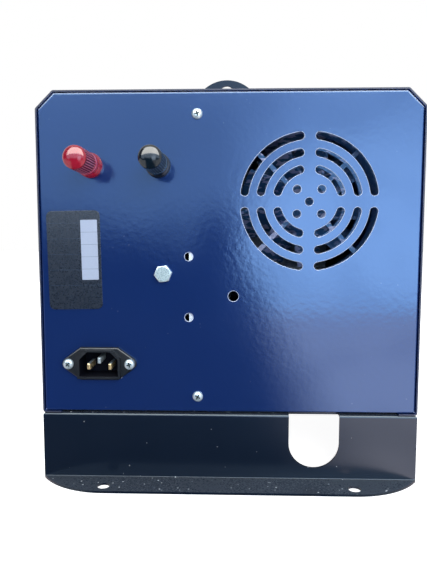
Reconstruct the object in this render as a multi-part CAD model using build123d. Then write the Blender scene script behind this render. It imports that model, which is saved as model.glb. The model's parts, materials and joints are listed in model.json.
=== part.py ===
from build123d import *
import os
from math import asin, atan2, cos, degrees, pi, radians, sin, sqrt, tan

# A box-shaped diesel air heater, in millimetres. X runs to the right of someone who faces the rear panel,
# Y runs from the rear panel (-Y) to the front panel (+Y) and Z runs up. The origin lies midway between
# the four floor bolts, on the underside of the mounting flanges.

# ---------------------------------------------------------------- driving dimensions
# Sheet-metal case
case_width = 245.4
case_depth = 400.0
case_height = 252.5
case_sheet = 1.0
case_chamfer = 11.2
case_bend = 2.0
cover_lip = 12.0
cover_screw_rear = 40.0
cover_screw_middle = 241.5
cover_screw_front = 25.0
panel_bend = 1.3
panel_recess = 0.8
panel_gap = 0.3
panel_flange = 12.0

# Base tray with its mounting flanges
base_height = 44.7
base_sheet = 1.5
base_bend = 2.0
flange_depth = 21.3
flange_corner = 54.0
floor_hole_d = 8.0
floor_hole_span = 160.0
floor_hole_out = 13.9
pipe_slot_x = 56.1
pipe_slot_width = 33.0
pipe_slot_bottom = 8.9
pipe_slot_notch = 6.0

# Rear panel openings
grille_side = 71.9
grille_drop = 69.7
grille_ring_radii = (20.8, 31.1, 41.3)
grille_slot = 5.0
grille_bridge = 7.2
grille_hole_d = 5.1
grille_hole_offset = 7.75
spare_hole_d = 5.3
spare_hole_inset = 11.1
spare_hole_drop = 124.3
spare_hole_pitch = 39.4
vent_hole_d = 6.7
vent_hole_offset = 17.6
vent_hole_drop = 130.1

# Screws with a cross recess
screw_d = 3.5
screw_head_d = 6.9
screw_head_h = 2.4
screw_length = 9.5
screw_clearance = 0.1
cross_width = 0.9
cross_depth = 1.2
panel_screw_drop = 15.1
panel_screw_rise = 11.6

# Partition between the tank side and the heater side
partition_gap = 5.4
partition_sheet = 1.0
partition_flange = 11.0
partition_foot = 10.0
partition_margin = 3.5
partition_screw_at = 260.0

# Rating plate
plate_width = 34.7
plate_height = 63.6
plate_sheet = 0.5
plate_corner = 3.5
plate_side = 23.05
plate_lift = 2.225
plate_lean = 1.0

# Mains inlet
inlet_side = 38.4
inlet_rise = 33.3
inlet_screw_pitch = 40.0
inlet_flange_h = 21.3
inlet_flange_top = 24.7
inlet_ear_r = 4.2
inlet_flange_t = 3.0
inlet_rim_width = 28.0
inlet_rim_height = 19.0
inlet_rim_t = 1.8
inlet_cavity_width = 25.1
inlet_cavity_height = 16.2
inlet_cavity_depth = 17.0
inlet_cavity_chamfer = 5.0
inlet_body_depth = 22.0
inlet_body_gap = 0.2
inlet_pin_width = 2.0
inlet_pin_height = 4.0
inlet_pin_pitch = 14.0
inlet_pin_setback = 2.0
inlet_live_drop = 1.9
inlet_earth_rise = 2.2
inlet_tab_length = 9.0
inlet_tab_height = 6.3
inlet_tab_t = 0.8
small_nut_af = 6.0
small_nut_h = 2.6

# Binding posts
post_red_side = 34.8
post_partition_side = 30.2
post_drop = 46.9
post_stud_d = 6.0
post_stud_reach = 26.0
post_knob_d = 14.0
post_knob_length = 32.0
post_knob_dome = 0.9
post_knob_bore_gap = 0.2
post_knob_wall = 4.0
post_flutes = 36
post_flute_depth = 0.35
post_collar_d = 15.2
post_collar_t = 3.6
post_bush_d = 15.8
post_bush_t = 4.0
post_sleeve_d = 9.0
post_nut_af = 10.0
post_nut_h = 5.0
post_inner_washer_t = 2.5

# Lifting lugs and folding handle
lug_centre_x = -1.75
lug_radius = 25.3
lug_centre_drop = 2.6
lug_sheet = 2.5
lug_rear_inset = 62.0
lug_front_inset = 84.0
lug_screw_edge = 6.0
lug_foot = 20.0
lug_hole_d = 11.0
lug_hole_z = 13.2
lug_screw_x = 15.0
handle_bar_d = 7.0
handle_drop_gap = 0.05
handle_side_gap = 3.0
handle_tail = 7.0
handle_tail_bend = 5.5
handle_bend = 12.0
handle_reach = 75.0
grip_d = 22.0
grip_length = 120.0
grip_gap = 0.3
grip_end_round = 2.0

# Heater unit, lying along Y in line with the grille
shell_half = 60.0
shell_corner = 40.0
shell_wall = 2.5
shell_rear = 22.0
shell_front_inset = 52.0
shell_split_gap = 0.1
guard_rear = 12.0
guard_t = 3.0
guard_bore_r = 46.0
guard_rings = (14.0, 25.0, 36.0)
guard_spokes = 8
impeller_rear = 30.0
impeller_depth = 24.0
impeller_hub_r = 20.0
impeller_tip_r = 43.0
impeller_blades = 9
blade_t = 1.6
blade_pitch = 38.0
shaft_d = 5.0
shaft_gap = 0.1
motor_rear = 60.0
motor_length = 42.0
motor_d = 48.0
motor_bracket_t = 4.0
burner_head_rear = 112.0
burner_head_depth = 20.0
burner_head_r = 42.0
burner_head_wall = 3.0
burner_fan_r = 32.0
burner_fan_hub_r = 9.0
burner_fan_vanes = 12
burner_fan_disc_t = 2.0
burner_fan_gap = 1.5
exchanger_front_inset = 62.0
exchanger_core_r = 38.0
exchanger_wall = 3.0
exchanger_fin_r = 52.0
exchanger_fins = 24
exchanger_fin_t = 1.8
flame_tube_r = 27.0
flame_tube_wall = 1.5
flame_tube_length = 130.0
flame_hole_d = 4.0
flame_holes = 8
flame_hole_rows = 2
foot_front = 208.0
foot_half = 34.0
stub_d = 22.0
stub_bore_d = 19.0
stub_length = 30.0
air_stub_at = 152.0
exhaust_stub_at = 188.0
glow_plug_d = 5.0
glow_plug_hex = 9.0
board_width = 58.0
board_length = 62.0
board_t = 8.0
board_hang = 3.5
gasket_t = 2.0
heater_bolt_d = 6.0
heater_bolt_af = 10.0
heater_bolt_half = 26.0
heater_bolt_edge = 10.0
heater_bolt_grip = 14.0

# Warm-air outlet
outlet_d = 75.0
outlet_wall = 2.5
outlet_reach = 30.0
outlet_hole_gap = 1.0
duct_mouth_r = 54.0
swivel_gap = 0.4
swivel_wall = 2.5
swivel_depth = 22.0
swivel_rim_d = 74.0
swivel_rim_t = 3.0
vane_count = 5
vane_t = 2.0
vane_lean = 35.0

# Exhaust and combustion-air pipes under the heater
pipe_socket_wall = 1.5
pipe_socket_gap = 0.15
pipe_socket_length = 16.0
pipe_d = 24.0
pipe_bore_d = 21.0
pipe_end_z = 12.0
pipe_floor_gap = 2.5
clamp_width = 9.0
clamp_t = 1.0
clamp_ear = 8.0

# Folded shelves that carry the tank and the heater
shelf_sheet = 1.2
shelf_foot = 12.0
heater_shelf_half = 50.0
heater_shelf_rear = 118.0
heater_shelf_front = 240.0
fuel_stub_at = 170.0
fuel_stub_offset = 20.0
fuel_stub_length = 11.0
controller_lead_offset = 17.0
tank_foot_rear = 246.0
tank_foot_inset = 38.0

# Fuel tank
tank_gap = 4.05
tank_lean_in = 0.25
tank_rear = 125.0
tank_front_inset = 32.0
tank_lift = 39.3
tank_top_drop = 10.5
tank_wall = 2.5
tank_corner = 12.0
neck_d = 44.0
neck_wall = 3.0
neck_inset = 55.0
neck_rise = 17.0
spigot_d = 6.0
spigot_length = 12.0
spigot_rise = 13.0
cover_hole_d = 50.0
grommet_d = 58.0
grommet_t = 2.0
grommet_gap = 0.15
cap_d = 56.0
cap_roof = 4.5
cap_gap = 0.5
cap_flutes = 18
cap_flute_r = 3.0
cap_seal_t = 2.0

# Dosing pump, hung on a rubber buffer from the rear panel
pump_side = 27.5
pump_bolt_drop = 115.6
pump_r = 17.0
pump_length = 60.0
pump_drop = 10.0
pump_bore_r = 8.0
pump_cap_r = 12.0
pump_cap_h = 6.0
pump_nozzle_r = 3.0
pump_nozzle_length = 12.0
plunger_gap = 0.3
plunger_length = 36.0
plunger_stroke = 2.0
buffer_r = 9.0
buffer_length = 14.0
clip_t = 1.5
clip_width = 14.0
bolt_d = 6.0
bolt_af = 10.0
bolt_head_h = 4.0
bolt_turn = 38.0  # degrees, as it was tightened
bolt_crown_share = 0.92
bolt_crown_slope = 30.0
bolt_grip = 8.0

# Power supply under the tank
psu_side_gap = 1.5
psu_length = 159.0
psu_height = 30.0
psu_rear = 78.0
psu_foot_t = 1.0
psu_slots = 9
psu_slot_width = 3.0
psu_terminal_depth = 14.0
psu_terminal_rise = 17.3

# Control panel in the front panel
panel_side = 50.7
panel_drop = 56.5
panel_width = 86.0
panel_height = 48.0
panel_body_depth = 16.0
panel_bezel = 4.0
panel_bezel_t = 3.0
panel_wall = 2.0
screen_width = 42.0
screen_height = 28.0
screen_t = 1.5
screen_offset = 14.0
button_d = 9.0
button_gap = 0.3
button_travel = 0.8
button_left = 0.4
button_pitch = 13.0
button_offset = 28.0
button_flange = 1.0

# Hoses and leads
fuel_hose_d = 5.0
fuel_hose_bore = 2.6
mains_lead_d = 5.0
power_lead_d = 4.0
lead_share = 0.45
hose_hole_d = 14.0
lead_hole_d = 12.0

# ---------------------------------------------------------------- derived planes
rear = -case_depth / 2
front = case_depth / 2
half_width = case_width / 2
grille_x = half_width - grille_side
grille_z = case_height - grille_drop
partition_x = grille_x - shell_half - partition_gap
spare_hole_x = partition_x - spare_hole_inset
spare_hole_z = case_height - spare_hole_drop
vent_hole_x = partition_x + vent_hole_offset
vent_hole_z = case_height - vent_hole_drop
panel_screw_high = case_height - panel_screw_drop
panel_screw_low = base_height + panel_screw_rise
inlet_x = inlet_side - half_width
inlet_z = base_height + inlet_rise
post_red_x = post_red_side - half_width
post_black_x = partition_x - post_partition_side
post_z = case_height - post_drop
plate_x = plate_side - half_width
plate_z = (post_z - post_bush_d / 2 + inlet_z + inlet_flange_h / 2) / 2 + plate_lift
tank_width = half_width + partition_x - 2 * tank_gap
tank_x = (partition_x - half_width) / 2 + tank_lean_in
tank_front = case_depth - tank_front_inset
tank_foot_front = case_depth - tank_foot_inset
tank_bottom = base_height + tank_lift
tank_top = case_height - tank_top_drop
spigot_z = tank_bottom + spigot_rise
psu_terminal_z = base_height + psu_terminal_rise
neck_at = case_depth - neck_inset
pump_x = partition_x - pump_side
pump_bolt_z = case_height - pump_bolt_drop
psu_width = tank_width - 2 * psu_side_gap
panel_x = panel_side - half_width
panel_z = case_height - panel_drop
shell_front = case_depth - shell_front_inset
exchanger_front = case_depth - exchanger_front_inset
cover_screws_at = (cover_screw_rear, cover_screw_middle, case_depth - cover_screw_front)
panel_face = rear + panel_recess
panel_back = panel_face + case_sheet
front_face = front - panel_recess
front_back = front_face - case_sheet
cover_inner_top = case_height - case_sheet
screw_column_x = partition_x - partition_flange / 2
heater_x = grille_x
heater_z = grille_z
shell_bottom = heater_z - shell_half
shelf_top = shell_bottom - gasket_t
motor_front = motor_rear + motor_length
burner_head_front = burner_head_rear + burner_head_depth
tank_shelf_half = tank_width / 2 + shelf_sheet
pump_y = panel_back + buffer_length + clip_t + pump_r
pump_bottom = pump_bolt_z - pump_drop - pump_length / 2
pump_top = pump_bottom + pump_length
exchanger_core_inner_r = exchanger_core_r - exchanger_wall


# ---------------------------------------------------------------- small helpers
def depth(distance):
    """Y of a point that lies this far in from the rear edge of the case."""
    return rear + distance


def block(x0, x1, y0, y1, z0, z1):
    centre = Pos((x0 + x1) / 2, (y0 + y1) / 2, (z0 + z1) / 2)
    return centre * Box(x1 - x0, y1 - y0, z1 - z0)


def rod_x(y, z, radius, x0, x1):
    return Pos((x0 + x1) / 2, y, z) * Rot(0, 90, 0) * Cylinder(radius, x1 - x0)


def rod_y(x, z, radius, y0, y1):
    return Pos(x, (y0 + y1) / 2, z) * Rot(90, 0, 0) * Cylinder(radius, y1 - y0)


def rod_z(x, y, radius, z0, z1):
    return Pos(x, y, (z0 + z1) / 2) * Cylinder(radius, z1 - z0)


def prism_y(sketch, y0, y1):
    """Raise a sketch drawn in X and Z from y0 to y1."""
    plane = Plane(origin=(0, y1, 0), x_dir=(1, 0, 0), z_dir=(0, -1, 0))
    return extrude(plane * sketch, amount=y1 - y0, dir=(0, -1, 0))


def prism_x(sketch, x0, x1):
    """Raise a sketch drawn in Y and Z from x0 to x1."""
    plane = Plane(origin=(x0, 0, 0), x_dir=(0, 1, 0), z_dir=(1, 0, 0))
    return extrude(plane * sketch, amount=x1 - x0, dir=(1, 0, 0))


def prism_z(sketch, z0, z1):
    return extrude(Plane.XY.offset(z0) * sketch, amount=z1 - z0, dir=(0, 0, 1))


def ring(outer_r, inner_r):
    return Circle(outer_r) - Circle(inner_r)


def hexagon(across_flats):
    return RegularPolygon(across_flats / sqrt(3), 6, rotation=30)


def group(solids):
    return Compound(children=list(solids))


def edges_on_y(solid, y):
    return solid.edges().filter_by_position(Axis.Y, y - 0.001, y + 0.001)


def cross_screw(x, z, seat_y, side, length=screw_length):
    """Pan-head screw along Y. side is -1 where the head points to -Y, and +1 where it points to +Y."""
    head = Cylinder(screw_head_d / 2, screw_head_h, align=(Align.CENTER, Align.CENTER, Align.MIN))
    head = fillet(head.edges().sort_by(Axis.Z)[-1], screw_head_h * 0.6)
    recess_z = screw_head_h - cross_depth
    recess_length = screw_head_d * 0.55
    bar = Box(recess_length, cross_width, cross_depth, align=(Align.CENTER, Align.CENTER, Align.MIN))
    head = head - Pos(0, 0, recess_z) * bar - Pos(0, 0, recess_z) * Rot(0, 0, 90) * bar
    shank = Pos(0, 0, -length / 2) * Cylinder(screw_d / 2, length)
    turn = Rot(90, 0, 0) if side < 0 else Rot(-90, 0, 0)
    return Pos(x, seat_y, z) * turn * (head + shank)


def floor_screw(x, y, seat_z):
    """Pan-head screw that points up through the floor of the base tray."""
    head = fillet(
        Cylinder(screw_head_d / 2, screw_head_h).edges().sort_by(Axis.Z)[0], screw_head_h * 0.6
    )
    shank_length = base_sheet + case_sheet + 2
    shank = Pos(0, 0, screw_head_h / 2 + shank_length / 2) * Cylinder(screw_d / 2, shank_length)
    return Pos(x, y, seat_z - screw_head_h / 2) * (head + shank)


def screw_hole_y(x, z, y0, y1):
    return rod_y(x, z, screw_d / 2 + screw_clearance, y0, y1)


def case_outline(inset, bottom, corner):
    """Outline of the case in X and Z, drawn in by inset, with its corners rounded where corner is set."""
    half = half_width - inset
    top = case_height - inset
    leg = case_chamfer - inset * (2 - sqrt(2))
    points = [
        (-half, bottom), (-half, top - leg), (-half + leg, top),
        (half - leg, top), (half, top - leg), (half, bottom),
    ]
    outline = Polygon(*points, align=None)
    return fillet(outline.vertices(), corner) if corner else outline


def arc_slot(radius, quadrant):
    """One grille slot: a quarter ring with rounded ends, stopped short of the two bridges."""
    end_inset = degrees(asin((grille_bridge / 2 + grille_slot / 2) / radius))
    start = 90 * quadrant + end_inset
    sweep = 90 - 2 * end_inset
    inner = radius - grille_slot / 2
    outer = radius + grille_slot / 2
    rim = [start + sweep * share / 4 for share in range(5)]
    wedge_points = [(2 * outer * cos(radians(angle)), 2 * outer * sin(radians(angle))) for angle in rim]
    slot = ring(outer, inner) & Polygon((0, 0), *wedge_points, align=None)
    for end in (start, start + sweep):
        slot += Pos(radius * cos(radians(end)), radius * sin(radians(end))) * Circle(grille_slot / 2)
    return slot


# ---------------------------------------------------------------- case
def make_cover():
    bottom = base_height
    outer = case_outline(0, bottom, case_bend)
    inner = case_outline(case_sheet, bottom + case_sheet, case_bend - case_sheet)
    mouth = 2 * (half_width - cover_lip)
    section = outer - inner - Pos(0, bottom) * Rectangle(mouth, 4 * case_sheet)
    cover = prism_y(section, rear, front)
    cover -= rod_z(tank_x, depth(neck_at), cover_hole_d / 2, cover_inner_top - 1, case_height + 1)
    for x, y in lug_screw_places():
        cover -= rod_z(x, y, screw_d / 2 + screw_clearance, cover_inner_top - 1, case_height + 1)
    for x, y in cover_screw_places() + base_screw_places():
        cover -= rod_z(x, y, screw_d / 2 + screw_clearance, bottom - 1, bottom + case_sheet + 1)
    return cover


def cover_screw_places():
    x = half_width - case_sheet - (cover_lip - case_sheet) / 2
    return [(side * x, depth(at)) for side in (-1, 1) for at in cover_screws_at]


def panel_tray(face_y, open_y):
    """Flat end panel with a flange turned into the case all round."""
    inset = case_sheet + panel_gap
    bottom = base_height + case_sheet + panel_gap
    direction = 1 if open_y > face_y else -1
    inner_face = face_y + direction * case_sheet
    outer = prism_y(case_outline(inset, bottom, 0), min(face_y, open_y), max(face_y, open_y))
    outer = fillet(edges_on_y(outer, face_y), panel_bend)
    hollow = prism_y(
        case_outline(inset + case_sheet, bottom + case_sheet, 0),
        min(inner_face, open_y + direction), max(inner_face, open_y + direction),
    )
    hollow = fillet(edges_on_y(hollow, inner_face), panel_bend - case_sheet)
    return outer - hollow


def round_hole(x, z, diameter):
    return Pos(x, z) * Circle(diameter / 2)


def make_rear_panel():
    panel = panel_tray(panel_face, panel_face + panel_flange)
    cuts = [Pos(grille_x, grille_z) * arc_slot(radius, quadrant)
            for radius in grille_ring_radii for quadrant in range(4)]
    cuts.append(round_hole(grille_x, grille_z, grille_hole_d))
    for sx in (-1, 1):
        for sz in (-1, 1):
            x = grille_x + sx * grille_hole_offset
            z = grille_z + sz * grille_hole_offset
            cuts.append(round_hole(x, z, grille_hole_d))
    for side in (-1, 1):
        spare_z = spare_hole_z + side * spare_hole_pitch / 2
        cuts.append(round_hole(spare_hole_x, spare_z, spare_hole_d))
        inlet_screw_x = inlet_x + side * inlet_screw_pitch / 2
        cuts.append(round_hole(inlet_screw_x, inlet_z, screw_d + 2 * screw_clearance))
    cuts.append(round_hole(vent_hole_x, vent_hole_z, vent_hole_d))
    cuts.append(round_hole(pump_x, pump_bolt_z, bolt_d + 2 * screw_clearance))
    for x in (post_red_x, post_black_x):
        cuts.append(round_hole(x, post_z, post_sleeve_d + 2 * screw_clearance))
    for z in (panel_screw_high, panel_screw_low):
        cuts.append(round_hole(screw_column_x, z, screw_d + 2 * screw_clearance))
    cuts.append(Pos(inlet_x, inlet_z) * inlet_body_outline(inlet_body_gap))
    for cut in cuts:
        panel -= prism_y(cut, panel_face - 1, panel_back + 1)
    return panel - panel_floor_hole(panel_back + panel_flange / 2)


def panel_floor_hole(y):
    """Hole through a panel's lower flange for the screw that comes up through the base."""
    bottom = base_height + case_sheet
    return rod_z(0, y, screw_d / 2 + screw_clearance, bottom - 1, bottom + case_sheet + 2)


def make_front_panel():
    panel = panel_tray(front_face, front_face - panel_flange)
    cuts = [
        round_hole(heater_x, heater_z, outlet_d + 2 * outlet_hole_gap),
        Pos(panel_x, panel_z) * Rectangle(panel_width + 2 * panel_gap, panel_height + 2 * panel_gap),
    ]
    for z in (panel_screw_high, panel_screw_low):
        cuts.append(round_hole(screw_column_x, z, screw_d + 2 * screw_clearance))
    for cut in cuts:
        panel -= prism_y(cut, front_back - 1, front_face + 1)
    return panel - panel_floor_hole(front_back - panel_flange / 2)


def flange_outline(side):
    """Plan of one mounting flange: straight front edge, and a tangent arc to each corner of the case."""
    run = sqrt(flange_corner**2 - (flange_corner - flange_depth) ** 2)
    straight = half_width - run
    centre_y = flange_depth - flange_corner
    sweep = degrees(atan2(run, flange_corner - flange_depth))
    outline = [
        Line((-half_width, 0), (half_width, 0)),
        CenterArc((straight, centre_y), flange_corner, 90 - sweep, sweep),
        Line((straight, flange_depth), (-straight, flange_depth)),
        CenterArc((-straight, centre_y), flange_corner, 90, sweep),
    ]
    flange = make_face(outline)
    if side < 0:
        return Pos(0, rear) * mirror(flange, Plane.XZ)
    return Pos(0, front) * flange


def corner_strip(y, z, direction_y, direction_z, radius):
    """Concave fillet strip along X, with its square corner at y, z."""
    square = Pos(y + direction_y * radius / 2, z + direction_z * radius / 2) * Rectangle(radius, radius)
    strip = square - Pos(y + direction_y * radius, z + direction_z * radius) * Circle(radius)
    return prism_x(strip, -half_width, half_width)


def make_base():
    outer = block(-half_width, half_width, rear, front, 0, base_height)
    outer = fillet(outer.edges().group_by(Axis.Z)[-1], base_bend)
    wall = base_sheet
    inner = block(-half_width + wall, half_width - wall, rear + wall, front - wall, -1, base_height - wall)
    inner = fillet(inner.edges().group_by(Axis.Z)[-1], base_bend - wall)
    base = outer - inner
    inside_bend = base_bend - wall
    for side, skirt_y in ((-1, rear), (1, front)):
        plan = flange_outline(side)
        inside_y = skirt_y - side * wall
        base += prism_z(plan, 0, wall)
        base += corner_strip(skirt_y, wall, side, 1, inside_bend) & prism_z(plan, 0, base_height)
        base -= corner_strip(inside_y, 0, side, 1, wall * 0.9)
        for hole_side in (-1, 1):
            x = hole_side * floor_hole_span / 2
            y = skirt_y + side * floor_hole_out
            base -= rod_z(x, y, floor_hole_d / 2, -1, wall + 1)
    slot_radius = pipe_slot_width / 2
    slot_low = pipe_slot_bottom + slot_radius
    slot_x0 = pipe_slot_x - slot_radius
    slot_x1 = pipe_slot_x + slot_radius
    slot_back = rear + pipe_slot_notch
    base -= block(slot_x0, slot_x1, rear - 1, slot_back, slot_low, base_height + 1)
    base -= rod_y(pipe_slot_x, slot_low, slot_radius, rear - 1, slot_back)
    for at in (air_stub_at, exhaust_stub_at):
        hole_r = pipe_d / 2 + pipe_floor_gap
        base -= rod_z(heater_x, depth(at), hole_r, base_height - wall - 1, base_height + 1)
    for x, y in cover_screw_places() + base_screw_places():
        base -= rod_z(x, y, screw_d / 2 + screw_clearance, base_height - wall - 1, base_height + 1)
    return base


def base_screw_places():
    """Screws from below into the two end panels, the partition and the feet of the shelves."""
    places = [(0, panel_back + panel_flange / 2), (0, front_back - panel_flange / 2)]
    places.append((partition_x + partition_sheet + partition_foot / 2, depth(partition_screw_at)))
    places += shelf_screw_places(tank_x, tank_shelf_half, tank_foot_rear, tank_foot_front)
    places += shelf_screw_places(heater_x, heater_shelf_half, heater_shelf_rear, heater_shelf_front)
    return places


def shelf_screw_places(x, half, foot_rear, foot_front):
    offset = half - shelf_foot / 2
    return [(x + side * offset, y) for side in (-1, 1)
            for y in (depth(foot_rear + shelf_foot), depth(foot_front - shelf_foot))]


def make_partition():
    web_x0 = partition_x
    web_x1 = partition_x + partition_sheet
    inner_bottom = base_height + 2 * case_sheet + panel_gap + partition_margin / 2
    inner_top = case_height - 2 * case_sheet - panel_gap - partition_margin / 2
    foot_rear = panel_back + panel_flange + partition_margin
    foot_front = front_back - panel_flange - partition_margin
    flange_x0 = web_x1 - partition_flange - partition_sheet
    flange_z0 = inner_bottom + partition_margin
    flange_z1 = inner_top - partition_margin
    wall = block(web_x0, web_x1, panel_back, front_back, inner_bottom, inner_top)
    wall += block(web_x0, web_x1, foot_rear, foot_front, base_height, inner_bottom)
    wall += block(web_x0, web_x1 + partition_foot, foot_rear, foot_front,
                  base_height, base_height + partition_sheet)
    wall += block(flange_x0, web_x1, panel_back, panel_back + partition_sheet, flange_z0, flange_z1)
    wall += block(flange_x0, web_x1, front_back - partition_sheet, front_back, flange_z0, flange_z1)
    for z in (panel_screw_high, panel_screw_low):
        wall -= screw_hole_y(screw_column_x, z, panel_back - 1, panel_back + 2)
        wall -= screw_hole_y(screw_column_x, z, front_back - 2, front_back + 1)
    foot_x = web_x1 + partition_foot / 2
    wall -= rod_z(foot_x, depth(partition_screw_at), screw_d / 2 + screw_clearance,
                  base_height - 1, base_height + 2)
    wall -= rod_x(*crossing(pressure_route, 8), hose_hole_d / 2, web_x0 - 1, web_x1 + 1)
    wall -= rod_x(*crossing(heater_route, 2), lead_hole_d / 2, web_x0 - 1, web_x1 + 1)
    return wall


def make_case_screws():
    screws = []
    for z in (panel_screw_high, panel_screw_low):
        screws.append(cross_screw(screw_column_x, z, panel_face, -1))
        screws.append(cross_screw(screw_column_x, z, front_face, 1))
    floor_underside = base_height - base_sheet
    screws += [floor_screw(x, y, floor_underside) for x, y in cover_screw_places() + base_screw_places()]
    return group(screws)


def make_rating_plate():
    outline = fillet(Rectangle(plate_width, plate_height).vertices(), plate_corner)
    leaning = Pos(plate_x, plate_z) * Rot(0, 0, plate_lean) * outline
    return prism_y(leaning, panel_face - plate_sheet, panel_face)


# ---------------------------------------------------------------- mains inlet and binding posts
def inlet_body_outline(margin):
    """Section of the inlet where it passes through the panel, with its two upper corners cut off."""
    half = inlet_rim_width / 2 + margin
    tall = inlet_rim_height / 2 + margin
    return chamfer(Rectangle(2 * half, 2 * tall).vertices().group_by(Axis.Y)[-1], inlet_cavity_chamfer)


def inlet_flange_outline():
    ears = [Pos(side * inlet_screw_pitch / 2, 0) * Circle(inlet_ear_r) for side in (-1, 1)]
    bar = Rectangle(inlet_flange_top, inlet_flange_h)
    return make_hull((bar + ears[0] + ears[1]).edges())


def inlet_pin_places():
    """X, Z of the live and neutral pins and of the earth pin."""
    low = inlet_z - inlet_live_drop
    places = [(inlet_x + side * inlet_pin_pitch / 2, low) for side in (-1, 1)]
    return places + [(inlet_x, inlet_z + inlet_earth_rise)]


def make_inlet():
    face = panel_face - inlet_flange_t
    centre = Pos(inlet_x, inlet_z)
    flange = prism_y(centre * inlet_flange_outline(), face, panel_face)
    flange = fillet(edges_on_y(flange, face), inlet_flange_t * 0.3)
    mouth = face - inlet_rim_t
    end = panel_face + inlet_body_depth
    body = flange + prism_y(centre * inlet_body_outline(0), mouth, end)
    cavity = Rectangle(inlet_cavity_width, inlet_cavity_height)
    cavity = chamfer(cavity.vertices().group_by(Axis.Y)[-1], inlet_cavity_chamfer)
    body -= prism_y(centre * cavity, mouth - 1, mouth + inlet_cavity_depth)
    for x, z in inlet_pin_places():
        slot = Pos(x, z) * Rectangle(inlet_pin_width, inlet_pin_height)
        body -= prism_y(slot, mouth, end + 1)
    for side in (-1, 1):
        x = inlet_x + side * inlet_screw_pitch / 2
        body -= screw_hole_y(x, inlet_z, face - 1, panel_face + 1)
    return body


def make_inlet_pins():
    tip = panel_face - inlet_flange_t - inlet_rim_t + inlet_pin_setback
    end = panel_face + inlet_body_depth
    pins = []
    for x, z in inlet_pin_places():
        pin = prism_y(Pos(x, z) * Rectangle(inlet_pin_width, inlet_pin_height), tip, end)
        pin = chamfer(edges_on_y(pin, tip), inlet_pin_width / 5)
        tab = Pos(x, z) * Rectangle(inlet_tab_t, inlet_tab_height)
        pins.append(pin + prism_y(tab, end, end + inlet_tab_length))
    return group(pins)


def make_inlet_fixings():
    """Two cross-recess screws through the ears, with their nuts behind the panel."""
    seat = panel_face - inlet_flange_t
    length = inlet_flange_t + case_sheet + small_nut_h + 1
    screws = []
    nuts = []
    for side in (-1, 1):
        x = inlet_x + side * inlet_screw_pitch / 2
        screws.append(cross_screw(x, inlet_z, seat, -1, length))
        nut = Pos(x, inlet_z) * (hexagon(small_nut_af) - Circle(screw_d / 2))
        nuts.append(prism_y(nut, panel_back, panel_back + small_nut_h))
    return group(screws), group(nuts)


def post_planes():
    """Y of the panel side and the knob side of the fixed bush, and of the knob's seat on its collar."""
    bush_outer = panel_face - post_bush_t
    return panel_face, bush_outer, bush_outer - post_collar_t


def make_post_knob(x):
    seat = post_planes()[2]
    tip = seat - post_knob_length
    points = []
    for step in range(2 * post_flutes):
        radius = post_knob_d / 2 - (post_flute_depth if step % 2 else 0)
        angle = pi * step / post_flutes
        points.append((radius * cos(angle), radius * sin(angle)))
    fluted = prism_y(Pos(x, post_z) * Polygon(*points, align=None), tip + 2 * post_knob_dome, seat)
    plain_r = post_knob_d / 2 - post_flute_depth
    crown = rod_y(x, post_z, plain_r, tip, tip + 2 * post_knob_dome)
    crown = fillet(edges_on_y(crown, tip), post_knob_dome * 1.8)
    bore_r = post_stud_d / 2 + post_knob_bore_gap
    return fluted + crown - rod_y(x, post_z, bore_r, tip + post_knob_wall, seat + 1)


def make_post_collar(x):
    inner_y, outer_y = post_planes()[1:]
    collar = rod_y(x, post_z, post_collar_d / 2, outer_y, inner_y)
    collar = fillet(edges_on_y(collar, outer_y), post_collar_t * 0.25)
    return collar - rod_y(x, post_z, post_stud_d / 2 + post_knob_bore_gap, outer_y - 1, inner_y + 1)


def make_post_hardware():
    """Insulating bushes, threaded studs and nuts of both posts."""
    bush_outer = post_planes()[1]
    sleeve_end = panel_back + post_inner_washer_t * 0.4
    washer_end = panel_back + post_inner_washer_t
    nut_end = washer_end + post_nut_h
    knob_tip = post_planes()[2] - post_knob_length
    bushes = []
    studs = []
    nuts = []
    for x in (post_red_x, post_black_x):
        stud_r = post_stud_d / 2
        bush = rod_y(x, post_z, post_bush_d / 2, bush_outer, panel_face)
        bush = fillet(edges_on_y(bush, bush_outer), post_bush_t * 0.25)
        bush += rod_y(x, post_z, post_sleeve_d / 2, panel_face, sleeve_end)
        bushes.append(bush - rod_y(x, post_z, stud_r, bush_outer - 1, sleeve_end + 1))
        washer = rod_y(x, post_z, post_bush_d / 2, panel_back, washer_end)
        washer -= rod_y(x, post_z, post_sleeve_d / 2, panel_back - 1, sleeve_end)
        bushes.append(washer - rod_y(x, post_z, stud_r, panel_back - 1, washer_end + 1))
        stud_tip = knob_tip + post_knob_wall + post_knob_bore_gap
        studs.append(rod_y(x, post_z, stud_r, stud_tip, panel_back + post_stud_reach))
        nut = Pos(x, post_z) * (hexagon(post_nut_af) - Circle(stud_r))
        nuts.append(prism_y(nut, washer_end, nut_end))
    return group(bushes), group(studs), group(nuts)


# ---------------------------------------------------------------- handle
def lug_planes(side):
    """Outer and inner face of a lug. The rear lug has side -1 and the front lug has side +1."""
    outer = rear + lug_rear_inset if side < 0 else front - lug_front_inset
    return outer, outer - side * lug_sheet


def lug_screw_places():
    places = []
    for side in (-1, 1):
        inner = lug_planes(side)[1]
        y = inner - side * (lug_foot - lug_screw_edge)
        places += [(lug_centre_x + sx * lug_screw_x, y) for sx in (-1, 1)]
    return places


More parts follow.
